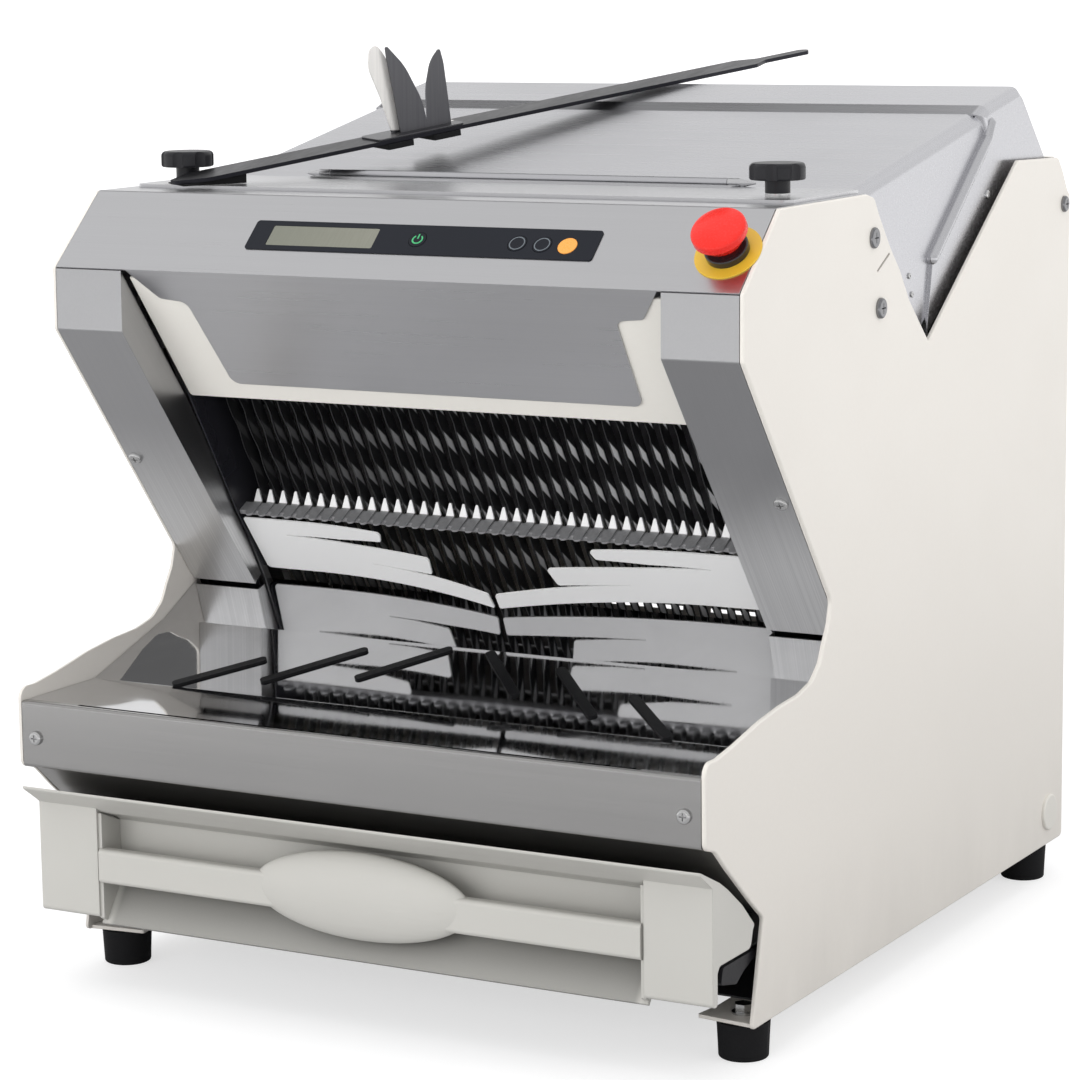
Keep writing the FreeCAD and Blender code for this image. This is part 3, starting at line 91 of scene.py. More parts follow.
# ------------------------------------------------------------------ material helpers
class Mat:
    def __init__(self, name):
        self.m = bpy.data.materials.new(name)
        self.m.use_nodes = True
        self.nt = self.m.node_tree
        self.nt.nodes.clear()
        self.out = self.nt.nodes.new("ShaderNodeOutputMaterial")
        self.b = self.nt.nodes.new("ShaderNodeBsdfPrincipled")
        self.nt.links.new(self.b.outputs[0], self.out.inputs[0])
        self.tc = self.nt.nodes.new("ShaderNodeTexCoord")
        self.normal = None

    def link(self, a, b):
        self.nt.links.new(a, b)

    def set(self, **k):
        for n, v in k.items():
            self.b.inputs[n.replace("_", " ")].default_value = v
        return self

    def coords(self, scale=(1, 1, 1), rot_x=0.0):
        """Object coordinates turned about X, then stretched: metres times scale."""
        mp = self.nt.nodes.new("ShaderNodeMapping")
        mp.vector_type = "TEXTURE"
        mp.inputs["Rotation"].default_value = (rot_x, 0, 0)
        mp.inputs["Scale"].default_value = [1.0 / s for s in scale]
        self.link(self.tc.outputs["Object"], mp.inputs["Vector"])
        return mp.outputs[0]

    def noise(self, vec, scale=1.0, detail=2.0, rough=0.5, dist=0.0):
        n = self.nt.nodes.new("ShaderNodeTexNoise")
        n.inputs["Scale"].default_value = scale
        n.inputs["Detail"].default_value = detail
        n.inputs["Roughness"].default_value = rough
        n.inputs["Distortion"].default_value = dist
        self.link(vec, n.inputs["Vector"])
        return n.outputs["Fac"]

    def ramp(self, fac, lo, hi, a=0.0, b=1.0, smooth=False):
        n = self.nt.nodes.new("ShaderNodeMapRange")
        if smooth:
            n.interpolation_type = "SMOOTHSTEP"
        n.inputs["From Min"].default_value = lo
        n.inputs["From Max"].default_value = hi
        n.inputs["To Min"].default_value = a
        n.inputs["To Max"].default_value = b
        self.link(fac, n.inputs["Value"])
        return n.outputs[0]

    def math(self, op, a, b=None, c=None):
        n = self.nt.nodes.new("ShaderNodeMath")
        n.operation = op
        for i, v in enumerate((a, b, c)):
            if v is None:
                continue
            if isinstance(v, (int, float)):
                n.inputs[i].default_value = v
            else:
                self.link(v, n.inputs[i])
        return n.outputs[0]

    def dot(self, vec, d):
        n = self.nt.nodes.new("ShaderNodeVectorMath")
        n.operation = "DOT_PRODUCT"
        self.link(vec, n.inputs[0])
        n.inputs[1].default_value = d
        return n.outputs["Value"]

    def mix(self, fac, c1, c2, mode="MIX"):
        n = self.nt.nodes.new("ShaderNodeMix")
        n.data_type = "RGBA"
        n.blend_type = mode
        if isinstance(fac, (int, float)):
            n.inputs[0].default_value = fac
        else:
            self.link(fac, n.inputs[0])
        for i, c in ((6, c1), (7, c2)):
            if isinstance(c, (tuple, list)):
                n.inputs[i].default_value = (*c[:3], 1.0)
            else:
                self.link(c, n.inputs[i])
        return n.outputs[2]

    def bump(self, height, strength, distance):
        n = self.nt.nodes.new("ShaderNodeBump")
        n.inputs["Strength"].default_value = strength
        n.inputs["Distance"].default_value = distance
        self.link(height, n.inputs["Height"])
        if self.normal is not None:
            self.link(self.normal, n.inputs["Normal"])
        self.normal = n.outputs[0]
        self.link(self.normal, self.b.inputs["Normal"])

    def edge(self, radius):
        """Rounded look of a sheet's cut edges."""
        n = self.nt.nodes.new("ShaderNodeBevel")
        n.samples = 4
        n.inputs["Radius"].default_value = radius
        self.normal = n.outputs[0]
        self.link(self.normal, self.b.inputs["Normal"])

    def color(self, c):
        if isinstance(c, (tuple, list)):
            self.b.inputs["Base Color"].default_value = (*c[:3], 1.0)
        else:
            self.link(c, self.b.inputs["Base Color"])

    def rough(self, r):
        if isinstance(r, (int, float)):
            self.b.inputs["Roughness"].default_value = r
        else:
            self.link(r, self.b.inputs["Roughness"])


def scaled(c, k):
    return tuple(min(1.0, v * k) for v in c)


def paint(name, c, rough=0.42, peel=0.05, edge=0.0008, darkening=0.0):
    """Powder coat: orange peel, faint tone changes, a little blotchy darkening low down."""
    m = Mat(name)
    big = m.noise(m.coords((2.2, 2.2, 2.2)), 1.0, 3.0)
    fine = m.noise(m.coords((260, 260, 260)), 1.0, 2.0)
    col = m.mix(m.ramp(big, 0.3, 0.7), scaled(c, 0.985), scaled(c, 1.012))
    col = m.mix(m.ramp(fine, 0.25, 0.75, 0.0, 0.35), col, scaled(c, 0.965))
    # Blotchy darkening of the colour towards the bottom of the part.
    if darkening > 0:
        z = m.dot(m.tc.outputs["Object"], (0, 0, 1))
        low = m.ramp(z, 0.03, 0.16, darkening, 0.0, True)
        blotch = m.noise(m.coords((9, 9, 3)), 1.0, 4.0, 0.6)
        col = m.mix(m.math("MULTIPLY", low, m.ramp(blotch, 0.35, 0.7)), col, scaled(c, 0.72))
    m.color(col)
    m.rough(m.ramp(m.noise(m.coords((14, 14, 14)), 1.0, 3.0), 0.3, 0.7, rough - 0.05, rough + 0.06))
    if edge:
        m.edge(edge)
    peelmap = m.noise(m.coords((620, 620, 620)), 1.0, 1.5, 0.45)
    m.bump(peelmap, peel, 0.0004)
    return m.m


def steel(name, c=(0.63, 0.63, 0.64), rough=0.27, rot=0.0, along="x", grain=900.0, rvar=0.07, bump=0.05, tone=0.06, edge=0.0006, smear=0.0):
    """Brushed stainless sheet: fine lines along one direction, broad tone bands, faint wipe marks."""
    m = Mat(name)
    m.set(Metallic=1.0)
    lng = 5.0
    sc = {"x": (lng, grain, grain), "y": (grain, lng, grain), "z": (grain, grain, lng)}[along]
    fine = m.noise(m.coords(sc, rot), 1.0, 3.0, 0.6)
    sc2 = {"x": (1.5, grain / 7, grain / 7), "y": (grain / 7, 1.5, grain / 7), "z": (grain / 7, grain / 7, 1.5)}[along]
    wide = m.noise(m.coords(sc2, rot), 1.0, 2.0, 0.5)
    cloud = m.noise(m.coords((5, 5, 5)), 1.0, 4.0, 0.55)
    t = m.math("ADD", m.math("MULTIPLY", fine, 0.6), m.math("MULTIPLY", wide, 0.4))
    m.color(m.mix(m.ramp(t, 0.32, 0.68), scaled(c, 1.0 - tone), scaled(c, 1.0 + tone)))
    r = m.ramp(t, 0.3, 0.7, rough - rvar, rough + rvar)
    if smear > 0:
        r = m.math("ADD", r, m.ramp(cloud, 0.45, 0.75, 0.0, smear))
    m.rough(r)
    if edge:
        m.edge(edge)
    m.bump(fine, bump, 0.0002)
    return m.m


def plastic(name, c, rough=0.45, texture=0.1, scale=900.0, edge=0.0006, var=0.02, coat=0.0, spec=0.5):
    m = Mat(name)
    big = m.noise(m.coords((7, 7, 7)), 1.0, 3.0)
    fine = m.noise(m.coords((scale, scale, scale)), 1.0, 2.0)
    m.color(m.mix(m.ramp(big, 0.3, 0.7), scaled(c, 1 - var), scaled(c, 1 + var)))
    m.rough(m.ramp(fine, 0.3, 0.7, rough - 0.05, rough + 0.07))
    m.b.inputs["Coat Weight"].default_value = coat
    m.b.inputs["Coat Roughness"].default_value = 0.08
    m.b.inputs["Specular IOR Level"].default_value = spec
    if edge:
        m.edge(edge)
    m.bump(fine, texture, 0.0003)
    return m.m


def assign(mat, *names):
    for n in names:
        o = NODES[n]
        me = o.data
        if len(me.materials) == 0:
            me.materials.append(mat)
        for i in range(len(o.material_slots)):
            o.material_slots[i].link = "OBJECT"
            o.material_slots[i].material = mat


CREAM = (0.80, 0.765, 0.715)
m_panel = paint("panel_paint", CREAM, 0.40, 0.06, 0.0009, 0.35)
m_hood = paint("hood_paint", (0.86, 0.835, 0.78), 0.42, 0.06, 0.0007)
m_rear = paint("rear_paint", scaled(CREAM, 0.97), 0.45, 0.07, 0.0007, 0.25)
m_black = paint("black_paint", (0.028, 0.028, 0.032), 0.42, 0.10, 0.0007)
# Near-black chamber guards under the flaps and behind the pillars: a black sheet standing in for the shade of the
# chamber mouth, painted shade.
m_guard_shade_black = paint("guard_shade_black", (0.022, 0.022, 0.028), 0.30, 0.05, 0.0007)

F_ROT = math.atan2(FD.z, FD.y)
m_cover = steel("stainless_cover", (0.62, 0.62, 0.635), 0.29, F_ROT, "x", 900.0, 0.025, 0.03, 0.02, 0.0006, 0.03)
m_plate = steel("stainless_plate", (0.63, 0.63, 0.645), 0.28, 0.0, "x", 900.0, 0.03, 0.03, 0.025, 0.0006, 0.03)
m_lid = steel("stainless_lid", (0.58, 0.58, 0.605), 0.27, LSL, "x", 800.0, 0.025, 0.02, 0.02, 0.0009, 0.03)
m_apron = steel("stainless_apron", (0.40, 0.395, 0.39), 0.22, 0.0, "x", 900.0, 0.03, 0.02, 0.025, 0.0006, 0.04)
m_bed = steel("stainless_bed", (0.56, 0.56, 0.57), 0.33, math.radians(34.5), "y", 700.0, 0.06, 0.05, 0.05, 0.0006, 0.06)
m_inner = steel("stainless_inner", (0.56, 0.56, 0.57), 0.34, 0.0, "x", 700.0, 0.06, 0.05, 0.05, 0.0006, 0.05)
m_turned = steel("turned_steel", (0.56, 0.56, 0.57), 0.22, 0.0, "x", 500.0, 0.06, 0.03, 0.05, 0.0004)
m_cast = steel("cast_aluminium", (0.50, 0.50, 0.51), 0.50, 0.0, "x", 60.0, 0.06, 0.3, 0.05, 0.0010, 0.04)


def mirror_tray():
    m = Mat("tray_mirror")
    m.set(Metallic=1.0)
    line = m.noise(m.coords((700, 4, 700), TSL), 1.0, 2.0, 0.6)
    cloud = m.noise(m.coords((10, 10, 10)), 1.0, 4.0, 0.6, 0.6)
    wave = m.noise(m.coords((7, 7, 7)), 1.0, 1.0)
    m.color(m.mix(m.ramp(cloud, 0.35, 0.7), (0.58, 0.58, 0.59), (0.64, 0.64, 0.65)))
    r = m.math("ADD", m.ramp(line, 0.35, 0.7, 0.035, 0.065), m.ramp(cloud, 0.50, 0.80, 0.0, 0.06))
    m.rough(r)
    m.bump(wave, 0.12, 0.0016)
    return m.m


m_tray = mirror_tray()


def chrome(name, c=(0.66, 0.66, 0.66), rough=0.14):
    m = Mat(name)
    m.set(Metallic=1.0)
    cloud = m.noise(m.coords((240, 240, 240)), 1.0, 3.0)
    m.color(m.mix(m.ramp(cloud, 0.3, 0.7), scaled(c, 0.86), scaled(c, 1.05)))
    m.rough(m.ramp(cloud, 0.3, 0.7, rough - 0.04, rough + 0.12))
    m.edge(0.0003)
    m.bump(cloud, 0.05, 0.0002)
    return m.m


m_screw = chrome("zinc_screw")


def pillar_mat():
    """Satin pillar skins with a painted reflection: the base colour is brighter towards the lower end at the tray."""
    m = Mat("stainless_pillar")
    m.set(Metallic=1.0)
    v = m.tc.outputs["Object"]
    o = P(0, 148.5, 315.0)
    up = m.math("SUBTRACT", o.dot(ED), m.dot(v, tuple(ED)))
    # Painted reflection: colour goes from 0.44 high up the pillar to 0.80 at its lower end.
    painted_reflection_fade = m.ramp(up, 0.02, 0.17, 1.0, 0.0, True)
    fine = m.noise(m.coords((900, 2.0, 900), math.atan2(ED.z, ED.y)), 1.0, 3.0, 0.6)
    cloud = m.noise(m.coords((6, 6, 6)), 1.0, 3.0, 0.5)
    base = m.mix(painted_reflection_fade, (0.44, 0.44, 0.45), (0.80, 0.80, 0.80))
    m.color(m.mix(m.ramp(fine, 0.3, 0.7, 0.0, 0.30), base, (0.40, 0.40, 0.41)))
    m.rough(m.math("ADD", m.ramp(fine, 0.3, 0.7, 0.28, 0.34), m.ramp(cloud, 0.4, 0.8, 0.0, 0.04)))
    m.edge(0.0006)
    m.bump(fine, 0.02, 0.0002)
    return m.m


def bolt_mat():
    """Zinc screws; the large bolts on the outside of the panels are darker."""
    m = Mat("bolt_steel")
    m.set(Metallic=1.0)
    x = m.math("ABSOLUTE", m.dot(m.tc.outputs["Object"], (1, 0, 0)))
    out = m.ramp(x, 0.3196, 0.3199, 0.0, 1.0)
    cloud = m.noise(m.coords((240, 240, 240)), 1.0, 3.0)
    c = m.mix(out, (0.60, 0.60, 0.60), (0.22, 0.22, 0.23))
    m.color(m.mix(m.ramp(cloud, 0.3, 0.7, 0.0, 0.3), c, (0.35, 0.35, 0.35)))
    m.rough(m.ramp(cloud, 0.3, 0.7, 0.12, 0.28))
    m.edge(0.0003)
    m.bump(cloud, 0.05, 0.0002)
    return m.m


m_pillar = pillar_mat()
m_bolt = bolt_mat()


def blade_mat():
    """Rolled dark strip with a ground facet under every scallop of its edge; the facets are painted near white as
    painted glints, fading towards -X as painted light.
    """
    m = Mat("blade_steel")
    v = m.tc.outputs["Object"]
    o = P(0, 168.0, 355.0)
    d = m.math("SUBTRACT", m.dot(v, tuple(CM)), o.dot(CM))
    t = m.math("SUBTRACT", m.dot(v, tuple(CB)), o.dot(CB))
    ph = m.math("ADD", m.math("DIVIDE", t, 0.041), 2.0 + 10.5)
    ph = m.math("SUBTRACT", m.math("FRACT", ph), 0.5)
    wid = m.math("SUBTRACT", 1.0, m.math("MULTIPLY", m.math("ABSOLUTE", ph), 2.25))
    off = m.math("ABSOLUTE", m.math("SUBTRACT", d, m.math("MULTIPLY", ph, 0.0110)))
    gap = m.math("SUBTRACT", m.math("MULTIPLY", wid, 0.0042), off)
    lens = m.ramp(gap, 0.0, 0.0014, 0.0, 1.0, True)
    x = m.dot(v, (1, 0, 0))
    # Painted light: the glints fade out towards the left end of the blade pack.
    painted_side_light = m.ramp(x, -0.21, 0.22, 0.05, 1.0, False)
    lens = m.math("MULTIPLY", lens, painted_side_light)
    line = m.noise(m.coords((300, 900, 12), 0.0), 1.0, 3.0, 0.6)
    dark = m.mix(m.ramp(line, 0.3, 0.7), (0.010, 0.010, 0.011), (0.022, 0.022, 0.024))
    # Glint patches painted near white on the dark strip.
    m.color(m.mix(lens, dark, (0.95, 0.95, 0.96)))
    m.rough(m.ramp(lens, 0.0, 1.0, 0.40, 0.30))
    geo = m.nt.nodes.new("ShaderNodeNewGeometry")
    lean = m.nt.nodes.new("ShaderNodeVectorMath")
    lean.operation = "SCALE"
    lean.inputs[0].default_value = tuple(CM * -1.0)
    m.link(m.math("MULTIPLY", lens, 0.95), lean.inputs["Scale"])
    add = m.nt.nodes.new("ShaderNodeVectorMath")
    add.operation = "ADD"
    m.link(geo.outputs["Normal"], add.inputs[0])
    m.link(lean.outputs[0], add.inputs[1])
    nrm = m.nt.nodes.new("ShaderNodeVectorMath")
    nrm.operation = "NORMALIZE"
    m.link(add.outputs[0], nrm.inputs[0])
    m.normal = nrm.outputs[0]
    m.bump(line, 0.05, 0.0002)
    return m.m


m_blade = blade_mat()


def comb_mat():
    """Satin aluminium fingers: upright tips painted near white as a painted highlight, sloped parts painted dark grey
    as painted shade.
    """
    m = Mat("comb_metal")
    v = m.tc.outputs["Object"]
    z = m.dot(v, (0, 0, 1))
    # Mask of the painted highlight on the upright tips; below it the painted shade of the sloped parts.
    up = m.ramp(z, P(0, 0, 357.6).z, P(0, 0, 358.8).z, 0.0, 1.0, True)
    cloud = m.noise(m.coords((420, 420, 90)), 1.0, 3.0, 0.6)
    low = m.mix(m.ramp(cloud, 0.3, 0.7), (0.30, 0.30, 0.31), (0.38, 0.38, 0.39))
    m.color(m.mix(up, low, (0.93, 0.93, 0.93)))
    m.link(m.ramp(up, 0.0, 1.0, 0.35, 0.10), m.b.inputs["Metallic"])
    m.rough(m.ramp(cloud, 0.3, 0.7, 0.34, 0.46))
    m.edge(0.0004)
    m.bump(cloud, 0.04, 0.0002)
    return m.m


m_comb = comb_mat()

def darkening(mat, dist, dark, lo=0.25, hi=0.95):
    """Painted shade: darken the colour of a material in its enclosed corners and recesses by ambient occlusion."""
    nt = mat.node_tree
    b = [n for n in nt.nodes if n.type == "BSDF_PRINCIPLED"][0]
    src = b.inputs["Base Color"].links[0].from_socket
    ao = nt.nodes.new("ShaderNodeAmbientOcclusion")
    ao.samples = 8
    ao.inputs["Distance"].default_value = dist
    r = nt.nodes.new("ShaderNodeMapRange")
    for k, q in (("From Min", lo), ("From Max", hi), ("To Min", dark), ("To Max", 1.0)):
        r.inputs[k].default_value = q
    nt.links.new(ao.outputs["AO"], r.inputs["Value"])
    mx = nt.nodes.new("ShaderNodeVectorMath")
    mx.operation = "SCALE"
    nt.links.new(src, mx.inputs[0])
    nt.links.new(r.outputs[0], mx.inputs["Scale"])
    nt.links.new(mx.outputs[0], b.inputs["Base Color"])


m_drawer = plastic("drawer_moulding", (0.60, 0.59, 0.555), 0.40, 0.10, 1100.0, 0.0008, 0.012)
# Painted shade in the corners and recesses of the drawer moulding.
darkening(m_drawer, 0.055, 0.74)


def pocket(mat):
    """Painted shadow: the finger pocket below the handle bar is coloured darker, where the bar's shadow falls."""
    nt = mat.node_tree
    b = [n for n in nt.nodes if n.type == "BSDF_PRINCIPLED"][0]
    src = b.inputs["Base Color"].links[0].from_socket
    tc = nt.nodes.new("ShaderNodeTexCoord")
    sep = nt.nodes.new("ShaderNodeSeparateXYZ")
    nt.links.new(tc.outputs["Object"], sep.inputs[0])

    def band(sock, lo, hi, a, b2):
        r = nt.nodes.new("ShaderNodeMapRange")
        r.interpolation_type = "SMOOTHSTEP"
        for k, q in (("From Min", lo), ("From Max", hi), ("To Min", a), ("To Max", b2)):
            r.inputs[k].default_value = q
        nt.links.new(sock, r.inputs["Value"])
        return r.outputs[0]

    def mul(x, y):
        n = nt.nodes.new("ShaderNodeMath")
        n.operation = "MULTIPLY"
        nt.links.new(x, n.inputs[0])
        nt.links.new(y, n.inputs[1])
        return n.outputs[0]
    ax = nt.nodes.new("ShaderNodeMath")
    ax.operation = "ABSOLUTE"
    nt.links.new(sep.outputs["X"], ax.inputs[0])
    # Painted shadow mask: below the handle bar, between the end blocks, behind the front face, strongest just under the
    # bar.
    k = mul(band(sep.outputs["Z"], P(0, 0, 60).z, P(0, 0, 66).z, 1.0, 0.0), band(ax.outputs[0], 0.245, 0.252, 1.0, 0.0))
    k = mul(k, band(sep.outputs["Y"], P(0, -60.0, 0).y, P(0, -57.0, 0).y, 0.0, 1.0))
    k = mul(k, band(sep.outputs["Z"], P(0, 0, 24).z, P(0, 0, 64).z, 0.72, 1.0))
    # Colour scaled down to 0.46 where the painted shadow is full.
    f = nt.nodes.new("ShaderNodeMapRange")
    for q, w in (("To Min", 1.0), ("To Max", 0.46)):
        f.inputs[q].default_value = w
    nt.links.new(k, f.inputs["Value"])
    mx = nt.nodes.new("ShaderNodeVectorMath")
    mx.operation = "SCALE"
    nt.links.new(src, mx.inputs[0])
    nt.links.new(f.outputs[0], mx.inputs["Scale"])
    nt.links.new(mx.outputs[0], b.inputs["Base Color"])


# Painted shadow of the handle bar in the drawer's finger pocket.
pocket(m_drawer)
m_capp = plastic("cap_plastic", (0.76, 0.74, 0.69), 0.38, 0.05, 900.0, 0.0006, 0.01)
m_flap = plastic("flap_plastic", (0.90, 0.90, 0.90), 0.46, 0.06, 700.0, 0.0004, 0.012)
m_blackp = plastic("black_plastic", (0.012, 0.012, 0.015), 0.36, 0.10, 1200.0, 0.0006, 0.1, 0.0, 0.35)
m_gloss = plastic("black_gloss", (0.014, 0.014, 0.016), 0.16, 0.02, 600.0, 0.0006, 0.1, 0.3)
m_rubber = plastic("rubber", (0.009, 0.009, 0.010), 0.62, 0.22, 800.0, 0.0008, 0.15, 0.0, 0.2)
m_strip = plastic("strip_rubber", (0.005, 0.005, 0.006), 0.42, 0.10, 900.0, 0.0005, 0.15, 0.0, 0.18)
m_red = plastic("red_cap", (0.78, 0.020, 0.013), 0.24, 0.02, 500.0, 0.0008, 0.03, 0.10, 0.35)
m_yellow = plastic("yellow_disc", (0.72, 0.47, 0.035), 0.42, 0.05, 700.0, 0.0004, 0.03)
m_film = plastic("keypad_film", (0.0085, 0.010, 0.0155), 0.34, 0.04, 1500.0, 0.0004, 0.06, 0.0, 0.22)
m_keyfilm = plastic("key_film", (0.0075, 0.009, 0.014), 0.32, 0.04, 1500.0, 0.0004, 0.06, 0.0, 0.22)
m_orange = plastic("orange_key", (0.88, 0.36, 0.055), 0.28, 0.04, 900.0, 0.0004, 0.03, 0.25)
m_beltp = plastic("belt_rubber", (0.018, 0.018, 0.019), 0.6, 0.2, 400.0, 0.0, 0.15)


def lcd():
    m = Mat("display_glass")
    cells = m.noise(m.coords((900, 60, 900), F_ROT), 1.0, 1.0)
    x = m.dot(m.tc.outputs["Object"], (1, 0, 0))
    shade = m.ramp(x, -0.122, -0.021, 0.0, 1.0)
    col = m.mix(shade, (0.16, 0.165, 0.13), (0.20, 0.20, 0.16))
    m.color(m.mix(m.ramp(cells, 0.3, 0.7, 0.0, 0.25), col, (0.14, 0.145, 0.11)))
    m.rough(0.16)
    m.b.inputs["Coat Weight"].default_value = 0.6
    m.b.inputs["Coat Roughness"].default_value = 0.05
    m.bump(cells, 0.01, 0.0001)
    return m.m


m_lcd = lcd()

assign(m_panel, "side_panel_right", "side_panel_left")
assign(m_cover, "top_cover")
assign(m_pillar, "pillar_right", "pillar_left")
assign(m_plate, "top_front_plate")
assign(m_hood, "bread_hood")
assign(m_lid, "lid")
assign(m_rubber, "lid_seals", "feet", "paddle_clips")
assign(m_screw, "lid_screws", "knob_studs")
assign(m_bolt, "case_fasteners")
assign(m_turned, "hinge_pin", "pusher_rods", "guide_rods", "crankshaft", "motor_pulley")
assign(m_blackp, "knob_left", "knob_right", "drawer_runners", "power_inlet", "control_box")
assign(m_film, "keypad")
assign(m_keyfilm, "power_key", "select_key_left", "select_key_right")
assign(m_orange, "start_key")
assign(m_lcd, "display_window")
assign(m_yellow, "estop_plate")
assign(m_gloss, "estop_collar")
assign(m_red, "estop_cap")
assign(m_tray, "tray")
assign(m_strip, "tray_strips")
assign(m_apron, "apron")
assign(m_drawer, "drawer_front")
assign(m_inner, "drawer_box", "pusher")
assign(m_bed, "bread_bed")
assign(m_guard_shade_black, "chamber_guards")
assign(m_comb, "slice_comb")
assign(m_flap, "flap_left", "flap_right")
assign(m_blade, "front_blades", "rear_blades")
assign(m_cast, "front_blade_frame", "rear_blade_frame", "guide_blocks", "connecting_rod_front", "connecting_rod_rear", "bearing_blocks")
assign(m_black, "drive_beam", "motor", "base_plate")
assign(m_beltp, "drive_belt")
assign(m_rear, "rear_panel")
assign(m_capp, "plug_caps")

m_paddle = steel("paddle_strip", (0.035, 0.035, 0.042), 0.36, 0.0, "y", 500.0, 0.06, 0.04, 0.10, 0.0006)


def ears_mat():
    """Dark brushed leaves; the outermost one has a face painted near white and less metallic, a painted reflection."""
    m = Mat("paddle_ears_steel")
    m.set(Metallic=1.0)
    v = m.tc.outputs["Object"]
    a, b = P(-254.0, 72.0, 0), P(31.0, 736.0, 0)
    h = (b - a).normalized()
    nrm = Vector((h.y, -h.x, 0))
    d = m.math("SUBTRACT", m.dot(v, tuple(nrm)), a.dot(nrm))
    z = m.dot(v, (0, 0, 1))
    # Mask of the painted reflection on the outermost leaf.
    painted_bright_face = m.math("MULTIPLY", m.ramp(d, -0.0010, -0.0015, 0.0, 1.0), m.ramp(z, 0.7075, 0.7085, 0.0, 1.0))
    fine = m.noise(m.coords((500, 500, 6)), 1.0, 3.0, 0.6)
    c = m.mix(painted_bright_face, (0.13, 0.13, 0.14), (0.88, 0.86, 0.83))
    m.color(m.mix(m.ramp(fine, 0.3, 0.7, 0.0, 0.2), c, (0.30, 0.30, 0.31)))
    m.link(m.ramp(painted_bright_face, 0.0, 1.0, 1.0, 0.25), m.b.inputs["Metallic"])
    m.rough(m.ramp(fine, 0.3, 0.7, 0.28, 0.38))
    m.edge(0.0005)
    m.bump(fine, 0.04, 0.0002)
    return m.m


m_ears = ears_mat()
assign(m_paddle, "paddle_bar")
assign(m_ears, "paddle_ears")


# ------------------------------------------------------------------ mesh helper
def mesh_object(name, verts, faces, mat, body, smooth=True):
    me = bpy.data.meshes.new(name)
    me.from_pydata([tuple(v) for v in verts], [], faces)
    me.update()
    bm = bmesh.new()
    bm.from_mesh(me)
    bmesh.ops.recalc_face_normals(bm, faces=bm.faces)
    bm.to_mesh(me)
    bm.free()
    if smooth:
        for p in me.polygons:
            p.use_smooth = True
    me.materials.append(mat)
    ob = bpy.data.objects.new(name, me)
    bpy.context.scene.collection.objects.link(ob)
    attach(ob, body)
    return ob


def ring(name, c, n, u, r_in, r_out, h, mat, body, a0=0.0, a1=360.0, seg=64):
    """Flat printed ring or arc, h thick, standing on point c with normal n."""
    w = n.cross(u)
    full = abs(a1 - a0) >= 359.9
    k = seg if full else seg + 1
    vs, fs = [], []
    for i in range(k):
        a = math.radians(a0 + (a1 - a0) * i / seg)
        d = u * math.cos(a) + w * math.sin(a)
        for r, z in ((r_in, 0.0), (r_in, h), (r_out, h), (r_out, 0.0)):
            vs.append(c + d * r + n * z)
    last = k if full else k - 1
    for i in range(last):
        j = (i + 1) % k
        for q in range(4):
            p = (q + 1) % 4
            fs.append((4 * i + q, 4 * i + p, 4 * j + p, 4 * j + q))
    if not full:
        fs.append((0, 1, 2, 3))
        b = 4 * (k - 1)
        fs.append((b + 3, b + 2, b + 1, b))
    return mesh_object(name, vs, fs, mat, body, False)


def slab(name, pts, o, e1, e2, n, h, mat, body, bevel=0.0):
    vs = [o + e1 * a + e2 * b for a, b in pts] + [o + e1 * a + e2 * b + n * h for a, b in pts]
    k = len(pts)
    fs = [tuple(range(k))[::-1], tuple(range(k, 2 * k))]
    fs += [(i, (i + 1) % k, k + (i + 1) % k, k + i) for i in range(k)]
    ob = mesh_object(name, vs, fs, mat, body, False)
    return ob


# ------------------------------------------------------------------ printed signs on the keys
def ink(name, c, rough=0.35):
    m = Mat(name)
    f = m.noise(m.coords((1500, 1500, 1500)), 1.0, 2.0)
    m.color(m.mix(m.ramp(f, 0.3, 0.7), scaled(c, 0.93), scaled(c, 1.05)))
    m.rough(m.ramp(f, 0.3, 0.7, rough - 0.05, rough + 0.05))
    return m.m


m_green = ink("green_ink", (0.05, 0.42, 0.16))
m_grey = ink("grey_ink", (0.13, 0.15, 0.17))
KEYS = (("power_key", 18.0, 45.0), ("select_key_left", 109.0, 45.6), ("select_key_right", 131.5, 46.0), ("start_key", 154.0, 46.4))
for nm, x, u in KEYS:
    top = FACE0 + EX * (x * MM) + FD * (u * MM) + FN * (1.3 * MM)
    if nm == "power_key":
        ring("power_sign_ring", top, FN, FD * -1.0, 3.6 * MM, 4.9 * MM, 0.10 * MM, m_green, nm, 38, 322, 40)
        slab("power_sign_bar", [(-0.65 * MM, -5.6 * MM), (0.65 * MM, -5.6 * MM), (0.65 * MM, -0.6 * MM), (-0.65 * MM, -0.6 * MM)], top, EX, FD, FN, 0.10 * MM, m_green, nm)
    elif nm != "start_key":
        ring(nm + "_sign", top, FN, FD, 5.9 * MM, 6.8 * MM, 0.10 * MM, m_grey, nm)


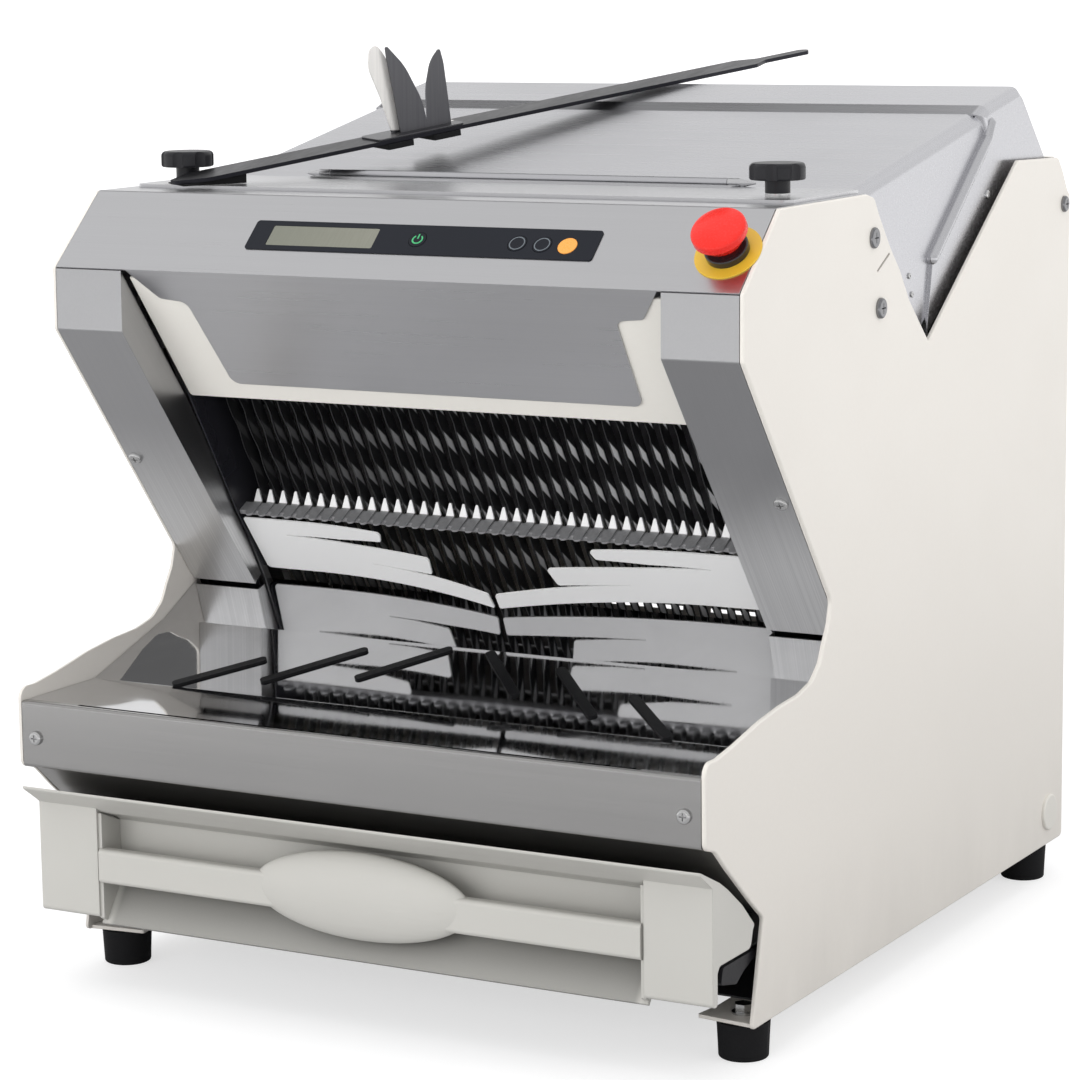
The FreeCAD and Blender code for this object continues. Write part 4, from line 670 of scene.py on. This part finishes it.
# ------------------------------------------------------------------ floor, light
def floor():
    m = Mat("floor")
    n = m.noise(m.coords((3, 3, 3)), 1.0, 2.0)
    grad = m.nt.nodes.new("ShaderNodeTexGradient")
    grad.gradient_type = "SPHERICAL"
    m.link(m.coords((0.36, 0.36, 0.36)), grad.inputs["Vector"])
    near = m.ramp(grad.outputs["Fac"], 0.0, 0.55, 0.0, 1.0, True)
    col = m.mix(near, (0.86, 0.86, 0.86), (0.47, 0.47, 0.475))
    m.color(m.mix(m.ramp(n, 0.3, 0.7, 0.0, 0.06), col, (0.80, 0.80, 0.80)))
    m.rough(0.7)
    m.b.inputs["Specular IOR Level"].default_value = 0.1
    m.b.inputs["Emission Color"].default_value = (1.0, 1.0, 1.0, 1.0)
    lp = m.nt.nodes.new("ShaderNodeLightPath")
    glow = m.math("MULTIPLY", m.math("SUBTRACT", 1.0, lp.outputs["Is Camera Ray"]), m.ramp(near, 0.0, 1.0, 0.48, 0.02))
    glow = m.math("ADD", glow, m.math("MULTIPLY", lp.outputs["Is Camera Ray"], 0.62))
    m.link(glow, m.b.inputs["Emission Strength"])
    me = bpy.data.meshes.new("floor")
    s = 300.0
    me.from_pydata([(-s, -s, 0), (s, -s, 0), (s, s, 0), (-s, s, 0)], [], [(0, 1, 2, 3)])
    me.materials.append(m.m)
    ob = bpy.data.objects.new("floor", me)
    bpy.context.scene.collection.objects.link(ob)


floor()


def area(name, loc, target, size, power, color=(1, 1, 1)):
    li = bpy.data.lights.new(name, "AREA")
    li.shape = "RECTANGLE"
    li.size, li.size_y = size
    li.energy = power
    li.color = color
    ob = bpy.data.objects.new(name, li)
    d = Vector(target) - Vector(loc)
    ob.matrix_world = Matrix.Translation(loc) @ d.to_track_quat("-Z", "Y").to_matrix().to_4x4()
    ob.visible_glossy = False
    bpy.context.scene.collection.objects.link(ob)
    return ob


area("light_top", (-0.3, -0.4, 3.2), (0, 0, 0.3), (3.2, 2.6), 34.0)
area("light_right", (3.2, 0.3, 1.5), (0, 0, 0.4), (2.4, 2.4), 27.0)
area("light_front", (-0.7, -3.0, 0.9), (0, 0, 0.40), (2.8, 1.4), 32.0)


def sky():
    """White studio: even light for the matt surfaces, soft walls of different tone for the polished ones."""
    world = bpy.data.worlds.new("world")
    bpy.context.scene.world = world
    world.use_nodes = True
    nt = world.node_tree
    nt.nodes.clear()
    out = nt.nodes.new("ShaderNodeOutputWorld")
    bg = nt.nodes.new("ShaderNodeBackground")
    tc = nt.nodes.new("ShaderNodeTexCoord")
    sep = nt.nodes.new("ShaderNodeSeparateXYZ")
    lp = nt.nodes.new("ShaderNodeLightPath")
    nt.links.new(tc.outputs["Generated"], sep.inputs[0])

    def remap(v, a, b, c, d, smooth=False):
        n = nt.nodes.new("ShaderNodeMapRange")
        if smooth:
            n.interpolation_type = "SMOOTHSTEP"
        for k, q in (("From Min", a), ("From Max", b), ("To Min", c), ("To Max", d)):
            n.inputs[k].default_value = q
        nt.links.new(v, n.inputs["Value"])
        return n.outputs[0]

    def mixv(f, a, b):
        n = nt.nodes.new("ShaderNodeMix")
        n.data_type = "FLOAT"
        nt.links.new(f, n.inputs[0])
        for i, q in ((2, a), (3, b)):
            if isinstance(q, (int, float)):
                n.inputs[i].default_value = q
            else:
                nt.links.new(q, n.inputs[i])
        return n.outputs[0]

    wall = remap(sep.outputs["Y"], -0.8, 0.8, 0.80, 0.98, True)
    side = remap(sep.outputs["X"], 0.3, 0.9, 0.0, 1.0, True)
    wall = mixv(side, wall, 0.72)
    up = remap(sep.outputs["Z"], 0.45, 0.95, 0.0, 1.0, True)
    gloss = mixv(up, wall, 0.78)
    corner = remap(sep.outputs["X"], -0.30, -0.42, 0.0, 1.0, True)
    high = remap(sep.outputs["Z"], 0.46, 0.58, 0.0, 1.0, True)
    back = remap(sep.outputs["Y"], 0.20, 0.42, 0.0, 1.0, True)
    n1 = nt.nodes.new("ShaderNodeMath")
    n1.operation = "MULTIPLY"
    nt.links.new(corner, n1.inputs[0])
    nt.links.new(high, n1.inputs[1])
    n2 = nt.nodes.new("ShaderNodeMath")
    n2.operation = "MULTIPLY"
    nt.links.new(n1.outputs[0], n2.inputs[0])
    nt.links.new(back, n2.inputs[1])
    gloss = mixv(n2.outputs[0], gloss, 0.15)
    soft = remap(sep.outputs["Z"], -0.2, 1.0, 0.66, 0.80)
    val = mixv(lp.outputs["Is Glossy Ray"], soft, gloss)
    val = mixv(lp.outputs["Is Camera Ray"], val, 1.0)
    cmb = nt.nodes.new("ShaderNodeCombineColor")
    for i in range(3):
        nt.links.new(val, cmb.inputs[i])
    nt.links.new(cmb.outputs[0], bg.inputs["Color"])
    bg.inputs["Strength"].default_value = 1.0
    nt.links.new(bg.outputs[0], out.inputs[0])


sky()

sc = bpy.context.scene
sc.view_settings.view_transform = "Standard"
sc.view_settings.look = "None"
sc.view_settings.exposure = 0.0
